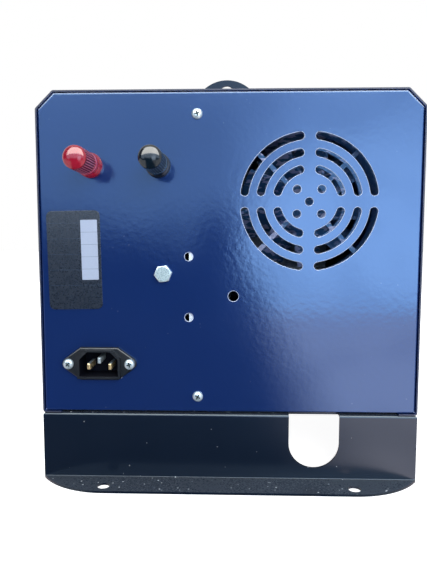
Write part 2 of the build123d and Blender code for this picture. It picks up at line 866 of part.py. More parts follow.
def make_lugs():
    lug_half = sqrt(lug_radius ** 2 - lug_centre_drop ** 2)
    lugs = []
    for side in (-1, 1):
        outer, inner = lug_planes(side)
        above_roof = Pos(0, lug_radius) * Rectangle(2 * lug_radius, 2 * lug_radius)
        disc = (Pos(0, -lug_centre_drop) * Circle(lug_radius)) & above_roof
        disc -= Pos(0, lug_hole_z) * Circle(lug_hole_d / 2)
        place = Pos(lug_centre_x, case_height)
        lug = prism_y(place * disc, min(outer, inner), max(outer, inner))
        foot_end = inner - side * lug_foot
        lug += block(lug_centre_x - lug_half, lug_centre_x + lug_half,
                     min(outer, foot_end), max(outer, foot_end), case_height, case_height + lug_sheet)
        for x, y in lug_screw_places():
            lug -= rod_z(x, y, screw_d / 2 + screw_clearance, case_height - 1, case_height + lug_sheet + 1)
        lugs.append(lug)
    return group(lugs)


def make_lug_screws():
    """Upright screws that hold the lugs on the roof of the case."""
    screws = []
    for x, y in lug_screw_places():
        screw = cross_screw(0, 0, 0, -1, lug_sheet + case_sheet + 2)
        screws.append(Pos(x, y, case_height + lug_sheet) * Rot(-90, 0, 0) * screw)
    return group(screws)


pivot_z = case_height + lug_hole_z - lug_hole_d / 2 + handle_bar_d / 2 + handle_drop_gap
grip_rest_z = case_height + grip_gap + grip_d / 2
handle_dip = asin((pivot_z - grip_rest_z) / handle_reach)


def lay_handle(solid):
    """Turn a handle piece that was drawn level, about the pivot, down to where the grip lies on the roof."""
    turn = Pos(lug_centre_x, 0, pivot_z) * Rot(0, degrees(handle_dip), 0)
    return turn * solid


def make_handle_bar():
    tails = [lug_planes(side)[0] + side * handle_tail for side in (-1, 1)]
    arms = [lug_planes(side)[1] - side * (handle_side_gap + handle_bar_d / 2) for side in (-1, 1)]
    points = [(0, tails[0], 0), (0, arms[0], 0), (handle_reach, arms[0], 0),
              (handle_reach, arms[1], 0), (0, arms[1], 0), (0, tails[1], 0)]
    bends = [handle_tail_bend, handle_bend, handle_bend, handle_tail_bend]
    path = FilletPolyline(*points, radius=bends)
    profile = Plane(origin=path @ 0, z_dir=path % 0) * Circle(handle_bar_d / 2)
    bar = sweep(profile, path)
    return lay_handle(bar)


def make_grip():
    middle = (lug_planes(-1)[0] + lug_planes(1)[0]) / 2
    ends = (middle - grip_length / 2, middle + grip_length / 2)
    grip = rod_y(handle_reach, 0, grip_d / 2, *ends)
    grip = fillet(grip.edges().filter_by(GeomType.CIRCLE), grip_end_round)
    return lay_handle(grip - rod_y(handle_reach, 0, handle_bar_d / 2, ends[0] - 1, ends[1] + 1))


# ---------------------------------------------------------------- heater unit
def around_heater(solid, angle):
    """Turn a piece that was drawn about the world's Y axis, and set it on the heater's axis."""
    return Pos(heater_x, 0, heater_z) * Rot(0, angle, 0) * solid


def turned(profile):
    """Revolve a profile of radius and depth about the heater's axis."""
    points = [(radius, depth(at)) for radius, at in profile]
    face = Plane.XY * Polygon(*points, align=None)
    return Pos(heater_x, 0, heater_z) * revolve(face, Axis.Y)


def make_shells():
    """Two plastic half shells round the heater, with the intake bore behind and an opening for the foot."""
    y0 = depth(shell_rear)
    y1 = depth(shell_front)
    centre = Pos(heater_x, heater_z)
    inner_half = shell_half - shell_wall
    shell = prism_y(centre * RectangleRounded(2 * shell_half, 2 * shell_half, shell_corner), y0, y1)
    hollow = RectangleRounded(2 * inner_half, 2 * inner_half, shell_corner - shell_wall)
    shell -= prism_y(centre * hollow, y0 + shell_wall, y1 + 1)
    shell -= rod_y(heater_x, heater_z, guard_bore_r, y0 - 1, y0 + shell_wall + 1)
    foot_x = foot_half + shell_split_gap
    foot_y0 = depth(burner_head_rear) - shell_split_gap
    foot_y1 = depth(foot_front) + shell_split_gap
    shell -= block(heater_x - foot_x, heater_x + foot_x, foot_y0, foot_y1,
                   shell_bottom - 1, shell_bottom + 3 * shell_wall)
    reach = 2 * shell_half
    low = block(heater_x - reach, heater_x + reach, y0 - 1, y1 + 1, shell_bottom - 1, heater_z)
    high = block(heater_x - reach, heater_x + reach, y0 - 1, y1 + 1,
                 heater_z + shell_split_gap, heater_z + reach)
    return shell & low, shell & high


def make_intake_guard():
    """Short tube behind the intake bore, closed by a grid of rings and spokes."""
    y0 = depth(guard_rear)
    y1 = y0 + guard_t
    centre = Pos(heater_x, heater_z)
    guard = prism_y(centre * ring(guard_bore_r + guard_t, guard_bore_r), y0, depth(shell_rear))
    for radius in guard_rings:
        guard += prism_y(centre * ring(radius + guard_t / 2, radius - guard_t / 2), y0, y1)
    hub_r = guard_rings[0]
    bar_place = Pos((hub_r + guard_bore_r) / 2, (y0 + y1) / 2, 0)
    bar = bar_place * Box(guard_bore_r - hub_r + 1, guard_t, guard_t)
    for spoke in range(guard_spokes):
        guard += around_heater(bar, 360 * spoke / guard_spokes)
    return guard


def make_impeller():
    """Axial fan that draws cabin air in: a hub with leaning blades, on the motor shaft."""
    y0 = depth(impeller_rear)
    y1 = y0 + impeller_depth
    middle = (y0 + y1) / 2
    chord = impeller_depth / cos(radians(blade_pitch)) * 1.2
    blade_length = impeller_tip_r - impeller_hub_r * 0.9
    blade = Rot(blade_pitch, 0, 0) * Box(blade_length, chord, blade_t)
    blade = Pos((impeller_tip_r + impeller_hub_r * 0.9) / 2, middle, 0) * blade
    envelope = prism_y(Circle(impeller_tip_r), y0, y1)
    blade = blade & envelope
    fan = rod_y(heater_x, heater_z, impeller_hub_r, y0, y1)
    fan = fillet(edges_on_y(fan, y0), impeller_hub_r * 0.3)
    for index in range(impeller_blades):
        fan += around_heater(blade, 360 * index / impeller_blades)
    return fan - rod_y(heater_x, heater_z, shaft_d / 2, y0 - 1, y1 + 1)


def burner_fan_planes():
    start = depth(burner_head_rear) + burner_head_wall + burner_fan_gap
    return start, depth(burner_head_front) - burner_head_wall - burner_fan_gap


def make_burner_fan():
    """Small radial fan for combustion air, on the far end of the motor shaft."""
    y0, y1 = burner_fan_planes()
    fan = rod_y(heater_x, heater_z, burner_fan_r, y0, y0 + burner_fan_disc_t)
    fan += rod_y(heater_x, heater_z, burner_fan_hub_r, y0, y1)
    vane_r0 = burner_fan_hub_r * 0.8
    vane_r1 = burner_fan_r * 0.96
    vane = block(vane_r0, vane_r1, y0 + burner_fan_disc_t / 2, y1, -blade_t / 2, blade_t / 2)
    for index in range(burner_fan_vanes):
        fan += around_heater(vane, 360 * index / burner_fan_vanes)
    return fan - rod_y(heater_x, heater_z, shaft_d / 2, y0 - 1, y1 + 1)


def make_shaft():
    return rod_y(heater_x, heater_z, shaft_d / 2, depth(impeller_rear) + 2, burner_fan_planes()[1])


def make_motor():
    motor = rod_y(heater_x, heater_z, motor_d / 2, depth(motor_rear), depth(motor_front))
    motor = fillet(edges_on_y(motor, depth(motor_rear)), motor_bracket_t)
    shaft_hole_r = shaft_d / 2 + shaft_gap
    return motor - rod_y(heater_x, heater_z, shaft_hole_r, depth(motor_rear) - 1, depth(motor_front) + 1)


def air_channel(y0, y1):
    """Passage for combustion air along the underside of the casting."""
    channel_z = shell_bottom + stub_bore_d / 2 + burner_head_wall
    return rod_y(heater_x, channel_z, stub_bore_d / 2 - 1, y0, y1)


def make_burner_head():
    """Casting that holds the motor in a cradle, and the combustion fan in a closed chamber."""
    y0 = depth(burner_head_rear)
    y1 = depth(burner_head_front)
    head = rod_y(heater_x, heater_z, burner_head_r, y0, y1)
    lobe_half = stub_d / 2 + burner_head_wall
    head += block(heater_x - lobe_half, heater_x + lobe_half, y0, y1,
                  shell_bottom, heater_z - burner_head_r / 2)
    cradle_r = motor_d / 2 + motor_bracket_t
    head += rod_y(heater_x, heater_z, cradle_r, depth(motor_front) - motor_d / 3, y0)
    head -= rod_y(heater_x, heater_z, motor_d / 2, depth(motor_rear), depth(motor_front))
    chamber_r = burner_fan_r + 2 * burner_fan_gap
    chamber_y0 = y0 + burner_head_wall
    chamber_y1 = y1 - burner_head_wall
    head -= rod_y(heater_x, heater_z, chamber_r, chamber_y0, chamber_y1)
    head -= rod_y(heater_x, heater_z, burner_fan_hub_r * 1.5, chamber_y1 - 1, y1 + 1)
    head -= rod_y(heater_x, heater_z, shaft_d / 2 + shaft_gap, depth(motor_rear), y1)
    channel_z = shell_bottom + stub_bore_d / 2 + burner_head_wall
    head -= air_channel((chamber_y0 + chamber_y1) / 2, y1 + 1)
    feed_y = (chamber_y0 + chamber_y1) / 2
    head -= rod_z(heater_x, feed_y, burner_head_depth / 4, channel_z, heater_z - chamber_r + 2)
    return head


def make_exchanger():
    """Finned casting with a closed end, a flat foot, and the air, exhaust and fuel stubs under it."""
    y0 = depth(burner_head_front)
    y1 = depth(exchanger_front)
    body = rod_y(heater_x, heater_z, exchanger_core_r, y0, y1)
    fin_y0 = y0 + burner_head_wall * 3
    fin_y1 = y1 - exchanger_wall
    fin_span = exchanger_fin_r - exchanger_core_inner_r
    fin_place = Pos(exchanger_fin_r - fin_span / 2, (fin_y0 + fin_y1) / 2, 0)
    fin = fin_place * Box(fin_span, fin_y1 - fin_y0, exchanger_fin_t)
    for index in range(exchanger_fins):
        body += around_heater(fin, 360 * index / exchanger_fins)
    body += block(heater_x - foot_half, heater_x + foot_half, y0, depth(foot_front), shell_bottom,
                  heater_z - exchanger_core_inner_r * 0.7)
    boss_y = glow_plug_y()
    body += rod_z(heater_x, boss_y, glow_plug_hex * 0.7, heater_z + exchanger_core_inner_r * 0.9,
                  glow_plug_seat())
    body -= rod_y(heater_x, heater_z, exchanger_core_inner_r, y0 - 1, y1 - exchanger_wall)
    stub_end = shell_bottom - stub_length
    for at in (air_stub_at, exhaust_stub_at):
        body += rod_z(heater_x, depth(at), stub_d / 2, stub_end, shell_bottom)
    fuel_x = heater_x - fuel_stub_offset
    fuel_y = depth(fuel_stub_at)
    body += rod_z(fuel_x, fuel_y, fuel_hose_bore / 2, shell_bottom - fuel_stub_length, shell_bottom)
    channel_top = shell_bottom + stub_bore_d / 2 + burner_head_wall
    body -= rod_z(heater_x, depth(air_stub_at), stub_bore_d / 2, stub_end - 1, channel_top)
    body -= air_channel(y0 - 1, depth(air_stub_at))
    body -= rod_z(heater_x, depth(exhaust_stub_at), stub_bore_d / 2, stub_end - 1, heater_z)
    body -= rod_z(heater_x, boss_y, glow_plug_d / 2, heater_z, heater_z + exchanger_fin_r)
    body -= rod_z(heater_x, boss_y, glow_plug_hex * 0.7, glow_plug_seat(), heater_z + exchanger_fin_r + 1)
    for x, y in heater_bolt_places():
        body -= rod_z(x, y, heater_bolt_d / 2, shell_bottom - 1, shell_bottom + heater_bolt_grip)
    return body


def glow_plug_y():
    return depth(burner_head_front) + exchanger_wall + glow_plug_hex


def glow_plug_seat():
    return heater_z + exchanger_fin_r - glow_plug_hex * 0.5


def make_glow_plug():
    seat = glow_plug_seat()
    y = glow_plug_y()
    plug = rod_z(heater_x, y, glow_plug_d / 2, heater_z + flame_tube_r + flame_tube_wall, seat)
    plug += prism_z(Pos(heater_x, y) * hexagon(glow_plug_hex), seat, seat + glow_plug_hex * 0.4)
    return plug


def make_flame_tube():
    """Perforated steel tube in which the fuel burns, held by its flange against the burner head."""
    y0 = depth(burner_head_front)
    y1 = y0 + flame_tube_length
    tube = rod_y(heater_x, heater_z, exchanger_core_inner_r - shell_split_gap, y0, y0 + flame_tube_wall)
    tube += rod_y(heater_x, heater_z, flame_tube_r, y0, y1)
    tube -= rod_y(heater_x, heater_z, flame_tube_r - flame_tube_wall, y0 - 1, y1 + 1)
    hole = Cylinder(flame_hole_d / 2, 3 * flame_tube_r)
    hole_pitch = 360 / flame_holes
    for row in range(flame_hole_rows):
        y = y0 + (row + 1) * flame_tube_length / (flame_hole_rows + 3)
        for index in range(flame_holes // 2):
            angle = hole_pitch * (index + row / 2)
            tube -= Pos(0, y, 0) * around_heater(hole, angle)
    return tube


def heater_bolt_places():
    first = depth(burner_head_front) + heater_bolt_edge
    last = depth(foot_front) - heater_bolt_edge
    return [(heater_x + side * heater_bolt_half, y) for side in (-1, 1) for y in (first, last)]


def make_heater_bolts():
    """Hex bolts that come up through the shelf and the gasket into the heater's foot."""
    seat = shelf_top - shelf_sheet
    bolts = []
    for x, y in heater_bolt_places():
        bolt = rod_z(x, y, heater_bolt_d / 2, seat, shell_bottom + heater_bolt_grip)
        bolts.append(bolt + prism_z(Pos(x, y) * hexagon(heater_bolt_af), seat - bolt_head_h, seat))
    return group(bolts)


def foot_openings():
    """X, Y and radius of every hole that the gasket and the shelf share."""
    holes = [(heater_x, depth(at), stub_d / 2 + screw_clearance) for at in (air_stub_at, exhaust_stub_at)]
    holes.append((heater_x - fuel_stub_offset, depth(fuel_stub_at), fuel_hose_d))
    return holes + [(x, y, heater_bolt_d / 2 + screw_clearance) for x, y in heater_bolt_places()]


def make_gasket():
    gasket = block(heater_x - foot_half, heater_x + foot_half, depth(burner_head_front), depth(foot_front),
                   shelf_top, shell_bottom)
    for x, y, radius in foot_openings():
        gasket -= rod_z(x, y, radius, shelf_top - 1, shell_bottom + 1)
    return gasket


def make_control_board():
    """Potted control unit under the roof of the upper shell, with its plug facing the intake."""
    y1 = depth(burner_head_front)
    y0 = y1 - board_length
    inner_top = heater_z + shell_half - shell_wall
    top = inner_top - board_hang
    board = block(heater_x - board_width / 2, heater_x + board_width / 2, y0, y1, top - board_t, top)
    board = fillet(board.edges().filter_by(Axis.Z), board_t / 4)
    board += block(heater_x - board_t, heater_x + board_t, y0 + board_t, y1 - board_t, top, inner_top)
    plug_half = board_width / 4
    board += block(heater_x - plug_half, heater_x + plug_half, y0 - board_t, y0, top - board_t, top)
    return board


def make_outlet_duct():
    """Plastic end cap of the heater, drawn in to the round collar that comes through the front panel."""
    y0 = depth(shell_front)
    cap = RectangleRounded(2 * shell_half, 2 * shell_half, shell_corner) - Circle(duct_mouth_r)
    duct = prism_y(Pos(heater_x, heater_z) * cap, y0, y0 + outlet_wall)
    outlet_r = outlet_d / 2
    collar_end = case_depth + outlet_reach
    cone_end = shell_front + duct_mouth_r - outlet_r + outlet_wall
    duct += turned([
        (duct_mouth_r, shell_front), (duct_mouth_r + outlet_wall, shell_front),
        (outlet_r, cone_end), (outlet_r, collar_end),
        (outlet_r - outlet_wall, collar_end), (outlet_r - outlet_wall, cone_end),
    ])
    return duct


def make_swivel_outlet():
    """Round louvre that turns inside the collar and throws the warm air to one side."""
    end = front + outlet_reach
    outer_r = outlet_d / 2 - outlet_wall - swivel_gap
    inner_r = outer_r - swivel_wall
    centre = Pos(heater_x, heater_z)
    louvre = prism_y(centre * ring(outer_r, inner_r), end - swivel_depth, end + swivel_gap)
    rim = centre * ring(swivel_rim_d / 2, inner_r)
    louvre += prism_y(rim, end + swivel_gap, end + swivel_gap + swivel_rim_t)
    spacing = 2 * inner_r / vane_count
    chord = swivel_depth * 0.8
    bore = rod_y(heater_x, heater_z, inner_r + swivel_wall / 2, end - swivel_depth, end)
    for index in range(vane_count):
        z = heater_z + (index - (vane_count - 1) / 2) * spacing
        vane = Rot(vane_lean, 0, 0) * Box(2 * outer_r, chord, vane_t)
        louvre += (Pos(heater_x, end - swivel_depth / 2, z) * vane) & bore
    return louvre


# ---------------------------------------------------------------- pipes and shelves
def make_pipe(at):
    """Steel pipe that is pushed over a stub of the heater and ends inside the base."""
    y = depth(at)
    stub_end = shell_bottom - stub_length
    socket_bore = stub_d / 2 + pipe_socket_gap
    step_z = stub_end - shell_split_gap
    pipe = rod_z(heater_x, y, socket_bore + pipe_socket_wall, step_z - pipe_socket_wall,
                 stub_end + pipe_socket_length)
    pipe -= rod_z(heater_x, y, socket_bore, step_z, stub_end + pipe_socket_length + 1)
    pipe += rod_z(heater_x, y, pipe_d / 2, pipe_end_z, step_z - pipe_socket_wall)
    return pipe - rod_z(heater_x, y, pipe_bore_d / 2, pipe_end_z - 1, step_z + 1)


def make_pipe_clamps():
    """Band clamps round both pipe sockets, each with a screw lug."""
    clamps = []
    band_r = stub_d / 2 + pipe_socket_gap + pipe_socket_wall
    z0 = shell_bottom - stub_length + (pipe_socket_length - clamp_width) / 2
    for at in (air_stub_at, exhaust_stub_at):
        y = depth(at)
        band = Pos(heater_x, y) * ring(band_r + clamp_t, band_r)
        clamp = prism_z(band, z0, z0 + clamp_width)
        clamp += block(heater_x + band_r + clamp_t / 2, heater_x + band_r + clamp_ear,
                       y - clamp_ear / 2, y + clamp_ear / 2, z0, z0 + clamp_width)
        clamps.append(clamp)
    return group(clamps)


def make_shelf(x, half, y0, y1, top, feet_y, left_bottom):
    """Sheet folded into a bridge on two legs, each with a foot turned in under the shelf."""
    shelf = block(x - half, x + half, y0, y1, top - shelf_sheet, top)
    for side, bottom in ((-1, left_bottom), (1, base_height)):
        wall = sorted((x + side * half, x + side * (half - shelf_sheet)))
        foot = sorted((x + side * half, x + side * (half - shelf_foot)))
        shelf += block(*wall, y0, y1, bottom, top)
        shelf += block(*foot, *feet_y, bottom, bottom + shelf_sheet)
    return shelf


def make_heater_shelf():
    y0 = depth(heater_shelf_rear)
    y1 = depth(heater_shelf_front)
    shelf = make_shelf(heater_x, heater_shelf_half, y0, y1, shelf_top, (y0, y1), base_height)
    for x, y, radius in foot_openings():
        shelf -= rod_z(x, y, radius, shelf_top - shelf_sheet - 1, shelf_top + 1)
    return shelf - shelf_screw_holes(heater_x, heater_shelf_half, heater_shelf_rear, heater_shelf_front)


def make_tank_shelf():
    feet_y = (depth(tank_foot_rear), depth(tank_foot_front))
    lip_top = base_height + case_sheet
    shelf = make_shelf(tank_x, tank_shelf_half, depth(tank_rear), depth(tank_front), tank_bottom,
                       feet_y, lip_top)
    return shelf - shelf_screw_holes(tank_x, tank_shelf_half, tank_foot_rear, tank_foot_front)


def shelf_screw_holes(x, half, foot_rear, foot_front):
    return [rod_z(hole_x, y, screw_d / 2 + screw_clearance, base_height - 1, base_height + 4)
            for hole_x, y in shelf_screw_places(x, half, foot_rear, foot_front)]


# ---------------------------------------------------------------- fuel side
def make_tank():
    """Blow-moulded tank with a filler neck through the roof of the case and a spigot low at the rear."""
    half = tank_width / 2
    outer = block(tank_x - half, tank_x + half, depth(tank_rear), depth(tank_front), tank_bottom, tank_top)
    outer = fillet(outer.edges(), tank_corner)
    wall = tank_wall
    inner = block(tank_x - half + wall, tank_x + half - wall, depth(tank_rear) + wall,
                  depth(tank_front) - wall, tank_bottom + wall, tank_top - wall)
    inner = fillet(inner.edges(), tank_corner - wall)
    neck_y = depth(neck_at)
    tank = outer + rod_z(tank_x, neck_y, neck_d / 2, tank_top - wall, case_height + neck_rise)
    spigot_y1 = depth(tank_rear) + wall
    tank += rod_y(tank_x, spigot_z, spigot_d / 2, depth(tank_rear) - spigot_length, spigot_y1)
    tank -= inner
    tank -= rod_z(tank_x, neck_y, neck_d / 2 - neck_wall, tank_top - 2 * wall, case_height + neck_rise + 1)
    spigot_y0 = depth(tank_rear) - spigot_length
    return tank - rod_y(tank_x, spigot_z, fuel_hose_bore / 2, spigot_y0 - 1, spigot_y1 + 1)


def make_filler_grommet():
    """Rubber ring that seals the filler neck in the roof."""
    x, y = tank_x, depth(neck_at)
    bore_r = neck_d / 2 + grommet_gap
    grommet = rod_z(x, y, grommet_d / 2, case_height, case_height + grommet_t)
    grommet += rod_z(x, y, cover_hole_d / 2 - grommet_gap, cover_inner_top - grommet_t, case_height)
    return grommet - rod_z(x, y, bore_r, cover_inner_top - grommet_t - 1, case_height + grommet_t + 1)


def cap_planes():
    """Z of the cap's lower edge, of the neck's rim and of the cap's inner roof."""
    rim = case_height + neck_rise
    return case_height + grommet_t + grommet_t / 2, rim, rim + cap_seal_t


def make_cap_seal():
    rim, roof = cap_planes()[1:]
    seal = Pos(tank_x, depth(neck_at)) * ring(neck_d / 2, neck_d / 2 - neck_wall * 1.5)
    return prism_z(seal, rim, roof)


def make_fuel_cap():
    edge, _, roof = cap_planes()
    x, y = tank_x, depth(neck_at)
    cap = rod_z(x, y, cap_d / 2, edge, roof + cap_roof)
    cap = fillet(cap.edges().group_by(Axis.Z)[-1], cap_roof / 2)
    flute_ring_r = cap_d / 2 + cap_flute_r * 0.6
    for index in range(cap_flutes):
        angle = 2 * pi * index / cap_flutes
        cap -= rod_z(x + flute_ring_r * cos(angle), y + flute_ring_r * sin(angle), cap_flute_r,
                     edge - 1, roof + cap_roof + 1)
    return cap - rod_z(x, y, neck_d / 2 + cap_gap, edge - 1, roof)


def make_pump():
    """Dosing pump: steel body with a bored cylinder, end cap, plug socket and two hose nozzles."""
    x, y = pump_x, pump_y
    body = rod_z(x, y, pump_r, pump_bottom, pump_top)
    body = fillet(body.edges().filter_by(GeomType.CIRCLE), pump_nozzle_r / 2)
    cap_top = pump_top + pump_cap_h
    body += rod_z(x, y, pump_cap_r, pump_top, cap_top)
    body += rod_z(x, y, pump_nozzle_r, cap_top, cap_top + pump_nozzle_length)
    body += rod_z(x, y, pump_nozzle_r, pump_bottom - pump_nozzle_length, pump_bottom)
    socket_half = pump_cap_r * 0.7
    body += block(x - socket_half, x + socket_half, y, y + pump_r + pump_cap_h,
                  pump_bolt_z + clip_width / 2 + clip_t, pump_top - pump_cap_h / 2)
    nozzle_low = pump_bottom - pump_nozzle_length
    nozzle_high = cap_top + pump_nozzle_length
    body -= rod_z(x, y, fuel_hose_bore / 2, nozzle_low - 1, nozzle_high + 1)
    return body - rod_z(x, y, pump_bore_r, *pump_chamber())


def pump_chamber():
    """Z of the two ends of the cylinder, which leaves the plunger its stroke."""
    floor = pump_bottom + pump_cap_h
    return floor, floor + plunger_length + plunger_stroke + 2 * plunger_gap


def make_plunger():
    """Steel plunger that the pump's coil throws up by its stroke."""
    z0 = pump_chamber()[0] + plunger_gap
    plunger = rod_z(pump_x, pump_y, pump_bore_r - plunger_gap, z0, z0 + plunger_length)
    return plunger - rod_z(pump_x, pump_y, fuel_hose_bore / 2, z0 - 1, z0 + plunger_length + 1)


def make_pump_clip():
    clip = prism_z(Pos(pump_x, pump_y) * ring(pump_r + clip_t, pump_r),
                   pump_bolt_z - clip_width / 2, pump_bolt_z + clip_width / 2)
    seat = panel_back + buffer_length
    pad = block(pump_x - buffer_r, pump_x + buffer_r, seat, seat + clip_t + pump_r / 2,
                pump_bolt_z - clip_width / 2, pump_bolt_z + clip_width / 2)
    pad -= rod_z(pump_x, pump_y, pump_r, pump_bottom, pump_top)
    return clip + pad


def make_pump_buffer():
    """Rubber buffer between the rear panel and the clip, with a threaded socket for the bolt."""
    buffer = rod_y(pump_x, pump_bolt_z, buffer_r, panel_back, panel_back + buffer_length)
    return buffer - rod_y(pump_x, pump_bolt_z, bolt_d / 2, panel_back - 1, panel_back + bolt_grip)


def make_pump_bolt():
    """Flat-topped hex bolt, its six corners rounded off towards the outer face."""
    face = panel_face - bolt_head_h
    head = prism_y(Pos(pump_x, pump_bolt_z) * Rot(0, 0, bolt_turn) * hexagon(bolt_af), face, panel_face)
    flat_r = bolt_af / 2 * bolt_crown_share
    slant = bolt_head_h / tan(radians(bolt_crown_slope))
    crown = Cone(flat_r + slant, flat_r, bolt_head_h)
    crown = Pos(pump_x, panel_face - bolt_head_h / 2, pump_bolt_z) * Rot(90, 0, 0) * crown
    return (head & crown) + rod_y(pump_x, pump_bolt_z, bolt_d / 2, panel_face, panel_back + bolt_grip)


# ---------------------------------------------------------------- electrics
def psu_planes():
    bottom = base_height + psu_foot_t
    return depth(psu_rear), depth(psu_rear + psu_length), bottom, bottom + psu_height


def make_power_supply():
    """Sheet-metal supply with a terminal recess at its rear end and slots along its top."""
    y0, y1, bottom, top = psu_planes()
    half = psu_width / 2
    psu = block(tank_x - half, tank_x + half, y0, y1, bottom, top)
    psu = fillet(psu.edges().filter_by(Axis.Y), case_sheet)
    recess_z = bottom + psu_height * 0.72
    psu -= block(tank_x - half + case_bend, tank_x + half - case_bend, y0 - 1, y0 + psu_terminal_depth,
                 recess_z, top + 1)
    for slot in range(psu_slots):
        y = y0 + psu_length * (slot + 3) / (psu_slots + 4)
        psu -= block(tank_x - half / 2, tank_x + half / 2, y, y + psu_slot_width, top - case_sheet, top + 1)
    foot_x = tank_x + half - shelf_foot
    psu += block(foot_x, tank_x + half - case_sheet, y0 + case_bend, y1 - case_bend, base_height, bottom)
    return psu


def make_control_panel():
    """Plastic housing of the display and the buttons, set in the front panel behind a wider bezel."""
    half_w = panel_width / 2
    half_h = panel_height / 2
    bezel_face = front_face + panel_bezel_t
    frame = RectangleRounded(panel_width + 2 * panel_bezel, panel_height + 2 * panel_bezel, panel_bezel)
    body = prism_y(Pos(panel_x, panel_z) * frame, front_face, bezel_face)
    body = fillet(edges_on_y(body, bezel_face), panel_bezel_t / 3)
    body += block(panel_x - half_w, panel_x + half_w, front_face - panel_body_depth, front_face,
                  panel_z - half_h, panel_z + half_h)
    half_w -= panel_wall
    half_h -= panel_wall
    body -= block(panel_x - half_w, panel_x + half_w, front_face - panel_body_depth + panel_wall,
                  front_face, panel_z - half_h, panel_z + half_h)
    screen = screen_outline(0)
    body -= prism_y(screen, bezel_face - screen_t, bezel_face + 1)
    for x, z in button_places():
        body -= rod_y(x, z, button_d / 2 + button_gap, front_face - 1, bezel_face + 1)
    return body


def screen_outline(margin):
    width = screen_width - 2 * margin
    height = screen_height - 2 * margin
    return Pos(panel_x + screen_offset, panel_z) * Rectangle(width, height)


def make_screen():
    face = front_face + panel_bezel_t
    return prism_y(screen_outline(screw_clearance), face - screen_t, face)


def button_places():
    x = panel_x - button_offset
    return [(x, panel_z + step * button_pitch) for step in (1, 0, -1)]


def make_button(x, z):
    """Round button with a hidden flange that keeps it in the panel."""
    face = front_face + panel_bezel_t
    top = face + button_travel + button_left
    button = rod_y(x, z, button_d / 2, front_face, top)
    button = fillet(edges_on_y(button, top), button_left)
    return button + rod_y(x, z, button_d / 2 + 2 * button_gap, front_face - button_flange, front_face)


# ---------------------------------------------------------------- hoses and leads
def route_radii(points):
    """Bend radius at each inner point: a fixed share of the shorter run, as its turn allows."""
    vectors = [Vector(*b) - Vector(*a) for a, b in zip(points, points[1:])]
    radii = []
    for before, after in zip(vectors, vectors[1:]):
        turn = radians(before.get_angle(after))
        radii.append(lead_share * min(before.length, after.length) / tan(turn / 2))
    return radii


def make_line(points, diameter, bore=0.0):
    """Round tube along straight runs joined by tangent arcs."""
    radii = route_radii(points)
    path = FilletPolyline(*points, radius=radii)
    print(f"line of {path.length:.0f} mm, bend radii", [round(radius, 1) for radius in radii])
    section = Plane(origin=path @ 0, z_dir=path % 0)
    line = sweep(section * Circle(diameter / 2), path)
    if bore:
        line -= sweep(section * Circle(bore / 2), path)
    return line


def crossing(points, index):
    """Y and Z at which one run of a route meets the middle of the partition."""
    start = Vector(*points[index])
    run = Vector(*points[index + 1]) - start
    share = (partition_x + partition_sheet / 2 - start.X) / run.X
    place = start + run * share
    return place.Y, place.Z


# Every route is a list of points that follows the free space inside the case.
hose_low = base_height + fuel_hose_d
nozzle_top = pump_top + pump_cap_h + pump_nozzle_length
fuel_stub_x = heater_x - fuel_stub_offset
controller_x = heater_x - controller_lead_offset
suction_route = [
    (tank_x, depth(tank_rear) - spigot_length, spigot_z),
    (tank_x, depth(84), spigot_z),
    (tank_x - 8, depth(50), spigot_z - 9),
    (tank_x - 8, pump_y, hose_low),
    (pump_x, pump_y, hose_low),
    (pump_x, pump_y, pump_bottom - pump_nozzle_length),
]
pressure_route = [
    (pump_x, pump_y, nozzle_top),
    (pump_x, pump_y, nozzle_top + 21),
    (pump_x + 6, depth(46), nozzle_top + 37),
    (pump_x + 14, depth(62), nozzle_top + 37),
    (pump_x + 17, depth(76), nozzle_top + 25),
    (pump_x + 17, depth(82), nozzle_top + 3),
    (pump_x + 16, depth(86), shell_bottom + 17),
    (pump_x + 17, depth(93), shell_bottom - 13),
    (pump_x + 22, depth(102), shell_bottom - 29),
    (partition_x + 19, depth(108), shell_bottom - 37),
    (fuel_stub_x - 15, depth(136), shell_bottom - 49),
    (fuel_stub_x, depth(fuel_stub_at), shell_bottom - 47),
    (fuel_stub_x, depth(fuel_stub_at), shell_bottom - fuel_stub_length),
]
mains_route = [
    (inlet_x, panel_face + inlet_body_depth + inlet_tab_length, inlet_z - 1),
    (inlet_x, depth(46), inlet_z - 1),
    (inlet_x - 6, depth(63), psu_terminal_z),
    (inlet_x - 6, depth(psu_rear), psu_terminal_z),
]
red_route = [
    (post_red_x, panel_back + post_stud_reach, post_z),
    (post_red_x, depth(46), post_z),
    (post_red_x - 5, depth(62), post_z - 20),
    (post_red_x - 11, depth(66), inlet_z + 72),
    (post_red_x - 15, depth(62), inlet_z + 36),
    (post_red_x - 17, depth(50), inlet_z + 10),
    (post_red_x - 17, depth(52), psu_terminal_z),
    (post_red_x - 17, depth(psu_rear), psu_terminal_z),
]
black_route = [
    (post_black_x, panel_back + post_stud_reach, post_z),
    (post_black_x, depth(43), post_z),
    (post_black_x - 10, depth(56), post_z - 12),
    (post_black_x - 20, depth(62), post_z - 42),
    (post_black_x - 18, depth(64), inlet_z + 52),
    (post_black_x - 12, depth(60), inlet_z + 30),
    (post_black_x - 6, depth(51), inlet_z + 11),
    (post_black_x - 6, depth(52), psu_terminal_z),
    (post_black_x - 6, depth(psu_rear), psu_terminal_z),
]
heater_route = [
    (partition_x - 19, depth(psu_rear), psu_terminal_z),
    (partition_x - 19, depth(60), psu_terminal_z),
    (partition_x - 15, depth(48), shell_bottom - 41),
    (partition_x + 9, depth(44), shell_bottom - 27),
    (heater_x - 31, depth(49), shell_bottom - 26),
    (controller_x, depth(56), shell_bottom - 17),
    (controller_x, depth(56), shell_bottom),
]


